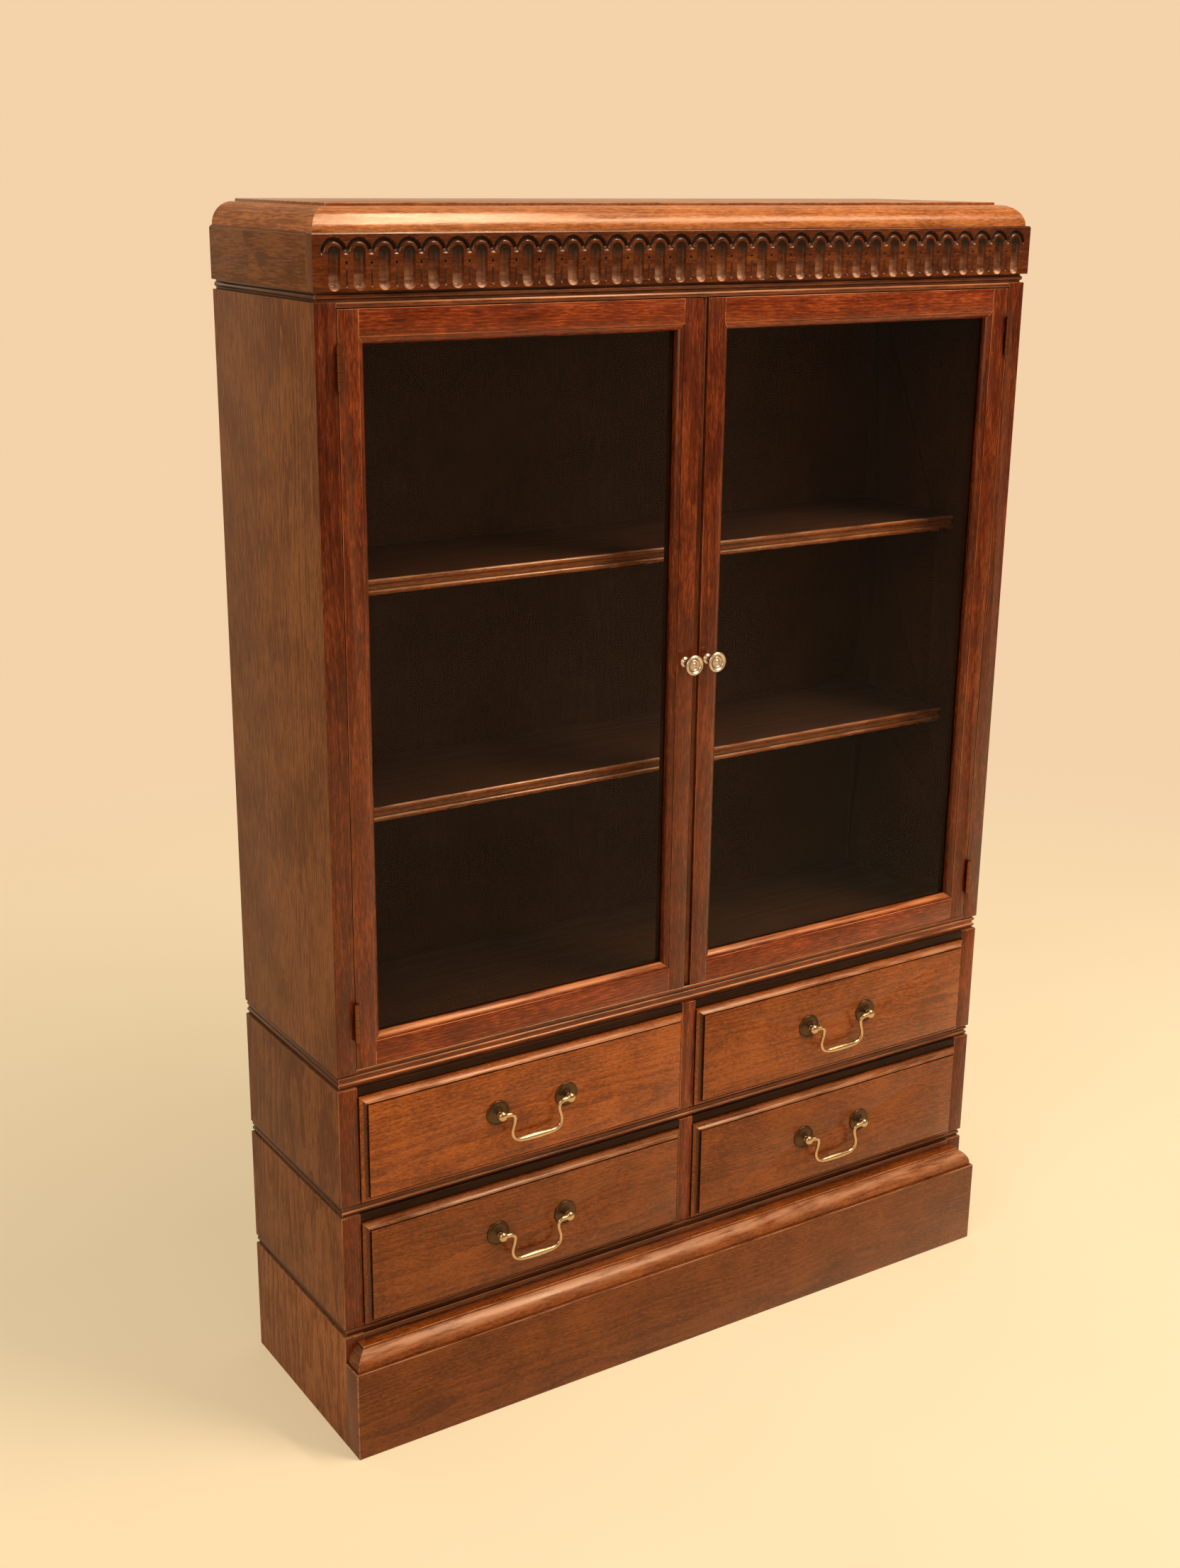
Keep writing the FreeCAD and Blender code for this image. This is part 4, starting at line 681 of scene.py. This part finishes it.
def carvedFrieze():
    c = carving
    low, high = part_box("frieze_front")
    half = (high.x - low.x) / 2 / mm
    height = (high.z - low.z) / mm
    pitch = 2 * (half - c["margin"]) / (c["flutes"] - 1)
    bm = bmesh.new()
    carveFace(bm, low, half, height, pitch)
    paintFluteLight(bm, low, half, height, pitch)
    # the edges go straight back from the face, and one face closes the board behind
    rim = [edge for edge in bm.edges if edge.is_boundary]
    made = bmesh.ops.extrude_edge_only(bm, edges=rim)["geom"]
    for item in made:
        if isinstance(item, bmesh.types.BMVert):
            item.co.y = high.y
    ends = (half - c["endStrip"]) * mm
    for item in made:
        if isinstance(item, bmesh.types.BMFace) and abs(item.calc_center_median().x) > ends:
            item.material_index = 1
    backRim = [item for item in made if isinstance(item, bmesh.types.BMEdge) and item.is_boundary]
    bmesh.ops.contextual_create(bm, geom=backRim)
    bmesh.ops.recalc_face_normals(bm, faces=bm.faces)
    shadeByAngle(bm, math.radians(c["smoothAngle"]))
    middle = (low + high) / 2
    endShade = boards["frieze_frame"][-1]  # the ends match the frame behind them
    materials = [oak("carved", "X", grainNumbers["frieze"], middle, c["shade"]),
                 oak("side", "Z", grainNumbers["friezeEnds"], middle, endShade)]
    finishMesh(bm, "frieze_front_carved", materials, "root", ["frieze_front"])


carvedFrieze()
print("stage: frieze carved")


# Turned pieces are half outlines spun about the line that points to the front.
# Their points are (radius, distance in front of the centre), in mm.

def turnedPiece(outline, centre, steps):
    bm = bmesh.new()
    verts = [bm.verts.new((radius * mm, -ahead * mm, 0)) for radius, ahead in outline]
    edges = [bm.edges.new(pair) for pair in zip(verts, verts[1:])]
    bmesh.ops.spin(bm, geom=verts + edges, cent=(0, 0, 0), axis=(0, 1, 0), angle=2 * math.pi,
                   steps=steps, use_merge=True, use_duplicate=False)
    bmesh.ops.remove_doubles(bm, verts=bm.verts, dist=weld)
    bmesh.ops.recalc_face_normals(bm, faces=bm.faces)
    bmesh.ops.translate(bm, verts=bm.verts, vec=centre)
    return bm


def bulge(start, end, rise, count):
    # points on a shallow curve from start to end, bowed out to the left of the way
    across = (end[0] - start[0], end[1] - start[1])
    length = math.hypot(*across)
    points = []
    for index in range(1, count):
        share = index / count
        bow = 4 * rise * share * (1 - share)
        points.append((start[0] + share * across[0] - bow * across[1] / length,
                       start[1] + share * across[1] + bow * across[0] / length))
    return [start] + points + [end]


# Door knobs: a collar, a slim neck, a cup with a rolled rim, and in its sunk
# face a ring and a button
knobShape = {"reach": 19.0, "radius": 10.6, "collar": 5.6, "neck": 3.5, "sunk": 1.1,
             "steps": 64, "smoothAngle": 50}


def knobOutline():
    reach, radius, collar, neck = [knobShape[key] for key in ("reach", "radius", "collar", "neck")]
    face = reach - knobShape["sunk"]
    points = [(0, 0), (collar, 0), (collar, 1.0), (collar - 0.8, 1.9), (neck + 0.4, 2.4)]
    points += bulge((neck, 3.2), (neck, 8.0), 0.25, 4)
    # cup and rim
    points += bulge((neck + 0.5, 9.0), (radius - 1.0, face - 2.4), -1.4, 6)
    points += bulge((radius - 0.3, face - 1.9), (radius - 1.2, reach - 0.1), -0.75, 6)
    # face, ring and button
    points += [(9.0, reach), (8.2, reach - 0.3), (7.0, face - 0.1), (6.6, face - 0.9), (6.3, face - 1.0)]
    points += bulge((6.1, face - 0.6), (4.4, face - 0.6), -0.55, 5)
    points += [(4.1, face - 1.1), (3.1, face - 1.2), (2.7, face - 1.0)]
    points += bulge((2.4, face - 0.6), (0, face + 0.2), -0.35, 4)
    return points


for hand in hands:
    node = "door_%s_knob" % hand
    low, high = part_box(node)
    middle = Vector(((low.x + high.x) / 2, high.y, (low.z + high.z) / 2))
    bm = turnedPiece(knobOutline(), middle, knobShape["steps"])
    shadeByAngle(bm, math.radians(knobShape["smoothAngle"]))
    finishMesh(bm, node + "_turned", [brightBrass], "door_" + hand, [node])
print("stage: knobs turned")


# Drawer handles: a dark domed rose and a rubbed post at each side, and a
# swan-necked bail that is thick at its ends and its grip

handle = {"spacing": 82.5, "roseRadius": 13.6, "neck": 2.3, "shankInset": 2,
          "ballAhead": 10.0, "ballRadius": 5.4, "ballHalf": 4.0, "ballSteps": 12,
          "steps": 48, "smoothAngle": 40, "bailSmooth": 50, "barSides": 5, "barSteps": 6}
# the bail's left half: (across, up, radius of the bar), mm from the middle between the balls
bailShape = [(-39.6, 0.0, 2.5), (-35.0, -0.1, 2.6), (-30.6, -0.6, 2.5), (-27.3, -3.6, 2.2),
             (-26.9, -8.6, 1.9), (-28.6, -15.0, 1.8), (-29.7, -21.0, 1.85), (-27.6, -27.4, 2.1),
             (-21.6, -30.9, 2.5), (-14.0, -31.6, 3.1), (-6.0, -31.6, 3.6), (0.0, -31.6, 3.7)]


def roseOutline():
    # a flat edge with a rolled rim, then a low dome up to the post
    r = handle["roseRadius"]
    points = [(0, 0), (r, 0), (r, 0.5)]
    points += bulge((r - 0.1, 0.9), (r - 1.9, 1.1), -0.45, 4)
    points += bulge((r - 2.3, 0.9), (4.6, 2.5), 0.35, 6)
    points += [(4.2, 2.9), (3.4, 3.1), (handle["neck"], 3.1), (0, 3.1)]
    return points


def postOutline():
    # a shank through the drawer front, a neck with a small ring, and a flattened ball
    ahead, ball, deep, neck, count = [handle[key] for key in
                                      ("ballAhead", "ballRadius", "ballHalf", "neck", "ballSteps")]
    behind = -handle["roseRadius"] + handle["shankInset"]
    points = [(0, behind), (neck - 0.3, behind), (neck - 0.3, 0), (neck, 0)]
    points += [(neck, 3.4), (neck + 0.7, 3.7), (neck + 0.7, 4.3), (neck, 4.7)]
    start = math.acos(min(neck / ball, 1.0))
    for index in range(count + 1):
        angle = -start + (math.pi / 2 + start) * index / count
        points.append((ball * math.cos(angle) if index < count else 0, ahead + deep * math.sin(angle)))
    return points


def handleSet(place):
    node = "drawer_%s_handle_mounts" % place
    low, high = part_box(node)
    middle = (low.x + high.x) / 2
    level = (low.z + high.z) / 2
    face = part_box("drawer_%s_front" % place)[0].y
    roses = bmesh.new()
    posts = bmesh.new()
    for way in (-1, 1):
        centre = Vector((middle + way * handle["spacing"] / 2 * mm, face, level))
        for target, outline in ((roses, roseOutline()), (posts, postOutline())):
            one = turnedPiece(outline, centre, handle["steps"])
            mesh = bpy.data.meshes.new("turning")
            one.to_mesh(mesh)
            one.free()
            target.from_mesh(mesh)
            bpy.data.meshes.remove(mesh)
    drawer = "drawer_" + place
    for target, name, metal, stands in ((roses, "_roses", darkBrass, [node]),
                                        (posts, "_posts", rubbedBrass, [])):
        shadeByAngle(target, math.radians(handle["smoothAngle"]))
        finishMesh(target, drawer + name, [metal], drawer, stands)
    swanBail(place, middle, face - handle["ballAhead"] * mm, level)


def swanBail(place, middle, ahead, level):
    curve = bpy.data.curves.new("bail_line", "CURVE")
    curve.dimensions = "3D"
    curve.bevel_depth = mm
    curve.bevel_resolution = handle["barSides"]
    curve.resolution_u = handle["barSteps"]
    curve.use_fill_caps = True
    line = curve.splines.new("BEZIER")
    points = bailShape + [(-across, up, radius) for across, up, radius in reversed(bailShape[:-1])]
    line.bezier_points.add(len(points) - 1)
    for point, (across, up, radius) in zip(line.bezier_points, points):
        point.co = (middle + across * mm, ahead, level + up * mm)
        point.radius = radius
        point.handle_left_type = "AUTO"
        point.handle_right_type = "AUTO"
    maker = bpy.data.objects.new("bail_maker", curve)
    bpy.context.scene.collection.objects.link(maker)
    bpy.context.view_layer.update()
    mesh = bpy.data.meshes.new_from_object(maker)
    bpy.data.objects.remove(maker)
    bm = bmesh.new()
    bm.from_mesh(mesh)
    bmesh.ops.remove_doubles(bm, verts=bm.verts, dist=weld)
    bmesh.ops.recalc_face_normals(bm, faces=bm.faces)
    shadeByAngle(bm, math.radians(handle["bailSmooth"]))
    name = "drawer_%s_bail" % place
    finishMesh(bm, name + "_brass", [rubbedBrass], "bail_" + place, [name])


for place in drawerShades:
    handleSet(place)
print("stage: handles")


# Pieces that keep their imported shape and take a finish: (material, slot)

plainNodes = {
    "shelf_pegs": (rubbedBrass, "aged_brass"),
    "carcass_hinge_leaves": (stainedBrass, "aged_brass"),
    "hinge_pins": (stainedBrass, "aged_brass"),
}
beadOak = oak("inner", "X", grainNumbers["beads"])
boxOak = oak("plain", "Y", grainNumbers["boxes"])
for hand in hands:
    plainNodes["door_%s_glass" % hand] = (clearGlass, "glass")
    plainNodes["door_%s_glazing_beads" % hand] = (beadOak, "polished_oak")
    plainNodes["door_%s_hinge_leaves" % hand] = (stainedBrass, "aged_brass")
for place in drawerShades:
    plainNodes["drawer_%s_box" % place] = (boxOak, "plain_oak")

for node, (material, slot) in plainNodes.items():
    piece = cadNodes[node]
    piece.data.materials.clear()
    piece.data.materials.append(material)
print("stage: plain pieces")


# Camera, floor and light

# place in metres, turns in radians, lens and sensor in mm
cameraPlace = {"location": (-1.15474, -1.67994, 1.26848),
               "heading": 0.574310, "pitch": 0.305808, "roll": 0.011285, "lens": 59.747, "sensor": 36.0}


def placeCamera():
    c = cameraPlace
    ahead, aside = math.cos(c["heading"]), math.sin(c["heading"])
    forward = Vector((aside * math.cos(c["pitch"]), ahead * math.cos(c["pitch"]), -math.sin(c["pitch"])))
    right = Vector((ahead, -aside, 0))
    up = right.cross(forward)
    turnedRight = right * math.cos(c["roll"]) + up * math.sin(c["roll"])
    turnedUp = up * math.cos(c["roll"]) - right * math.sin(c["roll"])
    axes = Matrix((turnedRight, turnedUp, -forward)).transposed()
    data = bpy.data.cameras.new("camera")
    data.sensor_fit = "HORIZONTAL"
    data.sensor_width = c["sensor"]
    data.lens = c["lens"]
    camera = bpy.data.objects.new("camera", data)
    camera.matrix_world = Matrix.Translation(c["location"]) @ axes.to_4x4()
    bpy.context.scene.collection.objects.link(camera)
    bpy.context.scene.camera = camera


placeCamera()


# the floor fades into the backdrop between fadeStart and fadeEnd, in metres
# from the case; the room's limits are parts of the unit vector to the sky
studio = {"backdrop": "#F4D2AA", "floorPale": "#FBEACB", "floorDeep": "#F5E0BE", "nearFloor": "#FFE4B4",
          "floorHalf": 12, "mottle": 1.2, "fadeStart": 0.8, "fadeEnd": 2.6, "lift": 0.4,
          "glow": "#FFF1DD", "glowStrength": 0.46, "lampColour": "#FFF0D8",
          "dimRoom": 0.22, "wallStart": -0.15, "wallFull": 0.35,
          "ceiling": 0.4, "ceilingStart": 0.3, "ceilingFull": 0.9}


def studioFloor():
    # the floor keeps the shadow near the case and turns into the backdrop further off
    s = studio
    material, tree = newMaterial("pale_floor")
    coords = addNode(tree, "ShaderNodeTexCoord")
    mottle = addNode(tree, "ShaderNodeTexNoise", {"Scale": s["mottle"], "Detail": 3.0},
                     {"Vector": coords.outputs["Object"]})
    colour = addNode(tree, "ShaderNodeValToRGB",
                     {"stops": [(0.3, linear(s["floorDeep"])), (0.7, linear(s["floorPale"]))]},
                     {"Fac": mottle.outputs["Fac"]})
    shader = addNode(tree, "ShaderNodeBsdfPrincipled", {"Roughness": 0.9, "Specular IOR Level": 0.1},
                     {"Base Color": colour.outputs["Color"]})
    far = addNode(tree, "ShaderNodeVectorMath", {"operation": "LENGTH"}, {0: coords.outputs["Object"]})
    fade = addNode(tree, "ShaderNodeMapRange",
                   {"interpolation_type": "SMOOTHSTEP",
                    "From Min": s["fadeStart"], "From Max": s["fadeEnd"]},
                   {"Value": far.outputs["Value"]})
    # the camera sees part of the floor as the glowing backdrop even near the case: painted light that
    # lifts the cast shadow
    lifted = addNode(tree, "ShaderNodeMapRange", {"To Min": s["lift"]}, {"Value": fade.outputs[0]})
    hue = addNode(tree, "ShaderNodeMix",
                  {"data_type": "RGBA", 6: linear(s["nearFloor"]), 7: linear(s["backdrop"])},
                  {0: fade.outputs[0]})
    path = addNode(tree, "ShaderNodeLightPath")
    direct = addNode(tree, "ShaderNodeMath", {"operation": "MAXIMUM"},
                     {0: path.outputs["Is Camera Ray"], 1: path.outputs["Is Transmission Ray"]})
    seen = addNode(tree, "ShaderNodeMath", {"operation": "MULTIPLY"},
                   {0: lifted.outputs[0], 1: direct.outputs[0]})
    backdrop = addNode(tree, "ShaderNodeEmission", {"Strength": 1.0}, {"Color": hue.outputs[2]})
    both = addNode(tree, "ShaderNodeMixShader", None,
                   {0: seen.outputs[0], 1: shader.outputs[0], 2: backdrop.outputs[0]})
    addNode(tree, "ShaderNodeOutputMaterial", None, {"Surface": both.outputs[0]})
    bm = bmesh.new()
    bmesh.ops.create_grid(bm, x_segments=1, y_segments=1, size=s["floorHalf"])
    mesh = bpy.data.meshes.new("floor")
    bm.to_mesh(mesh)
    bm.free()
    mesh.materials.append(material)
    floor = bpy.data.objects.new("floor", mesh)
    bpy.context.scene.collection.objects.link(floor)


studioFloor()

# Power in watts. The key lamp is narrow along the front and long from front to
# back, so its light on a rounded edge is a short broad patch.
lamps = {
    # place and aim in metres, size as (along the front, across it)
    "key_lamp": {"place": (0.93, -1.35, 3.1), "aim": (0.93, 0, 0.6), "size": (0.28, 2.2), "power": 72},
    "second_lamp": {"place": (1.70, -1.75, 2.8), "aim": (0, 0, 0.6), "size": (1.1, 0.8), "power": 25},
    "left_fill": {"place": (-2.6, -1.4, 2.1), "aim": (0, 0, 0.6), "size": (1.6, 1.6), "power": 29},
}


def hangLamps():
    for name, lamp in lamps.items():
        data = bpy.data.lights.new(name, "AREA")
        data.shape = "RECTANGLE"
        data.size, data.size_y = lamp["size"]
        data.energy = lamp["power"]
        data.color = linear(studio["lampColour"])[:3]
        light = bpy.data.objects.new(name, data)
        place = Vector(lamp["place"])
        turn = (Vector(lamp["aim"]) - place).to_track_quat("-Z", "Y").to_matrix()
        light.matrix_world = Matrix.Translation(place) @ turn.to_4x4()
        bpy.context.scene.collection.objects.link(light)


def paintRoom():
    # polish mirrors the pale wall behind the case and the ceiling; the room in
    # front of it is dim, and wood is lit by an even glow
    s = studio
    world = bpy.data.worlds.new("studio")
    world.use_nodes = True
    tree = world.node_tree
    tree.nodes.clear()
    path = addNode(tree, "ShaderNodeLightPath")
    seen = addNode(tree, "ShaderNodeMath", {"operation": "MAXIMUM"},
                   {0: path.outputs["Is Camera Ray"], 1: path.outputs["Is Transmission Ray"]})
    mirrored = addNode(tree, "ShaderNodeMath", {"operation": "MAXIMUM"},
                       {0: seen.outputs[0], 1: path.outputs["Is Glossy Ray"]})
    coords = addNode(tree, "ShaderNodeTexCoord")
    way = addNode(tree, "ShaderNodeSeparateXYZ", None, {0: coords.outputs["Generated"]})
    wall = addNode(tree, "ShaderNodeMapRange",
                   {"interpolation_type": "SMOOTHSTEP", "From Min": s["wallStart"],
                    "From Max": s["wallFull"], "To Min": s["dimRoom"], "To Max": 1.0},
                   {"Value": way.outputs["Y"]})
    ceiling = addNode(tree, "ShaderNodeMapRange",
                      {"interpolation_type": "SMOOTHSTEP", "From Min": s["ceilingStart"],
                       "From Max": s["ceilingFull"], "To Min": 0.0, "To Max": s["ceiling"]},
                      {"Value": way.outputs["Z"]})
    room = addNode(tree, "ShaderNodeMath", {"operation": "MAXIMUM"},
                   {0: wall.outputs[0], 1: ceiling.outputs[0]})
    strength = addNode(tree, "ShaderNodeMath", {"operation": "MAXIMUM"},
                       {0: seen.outputs[0], 1: room.outputs[0]})
    glow = addNode(tree, "ShaderNodeBackground",
                   {"Color": linear(s["glow"]), "Strength": s["glowStrength"]})
    backdrop = addNode(tree, "ShaderNodeBackground", {"Color": linear(s["backdrop"])},
                       {"Strength": strength.outputs[0]})
    both = addNode(tree, "ShaderNodeMixShader", None,
                   {0: mirrored.outputs[0], 1: glow.outputs[0], 2: backdrop.outputs[0]})
    addNode(tree, "ShaderNodeOutputWorld", None, {"Surface": both.outputs[0]})
    bpy.context.scene.world = world


hangLamps()
paintRoom()
bpy.context.scene.view_settings.view_transform = "Standard"
print("stage: camera, floor and light")
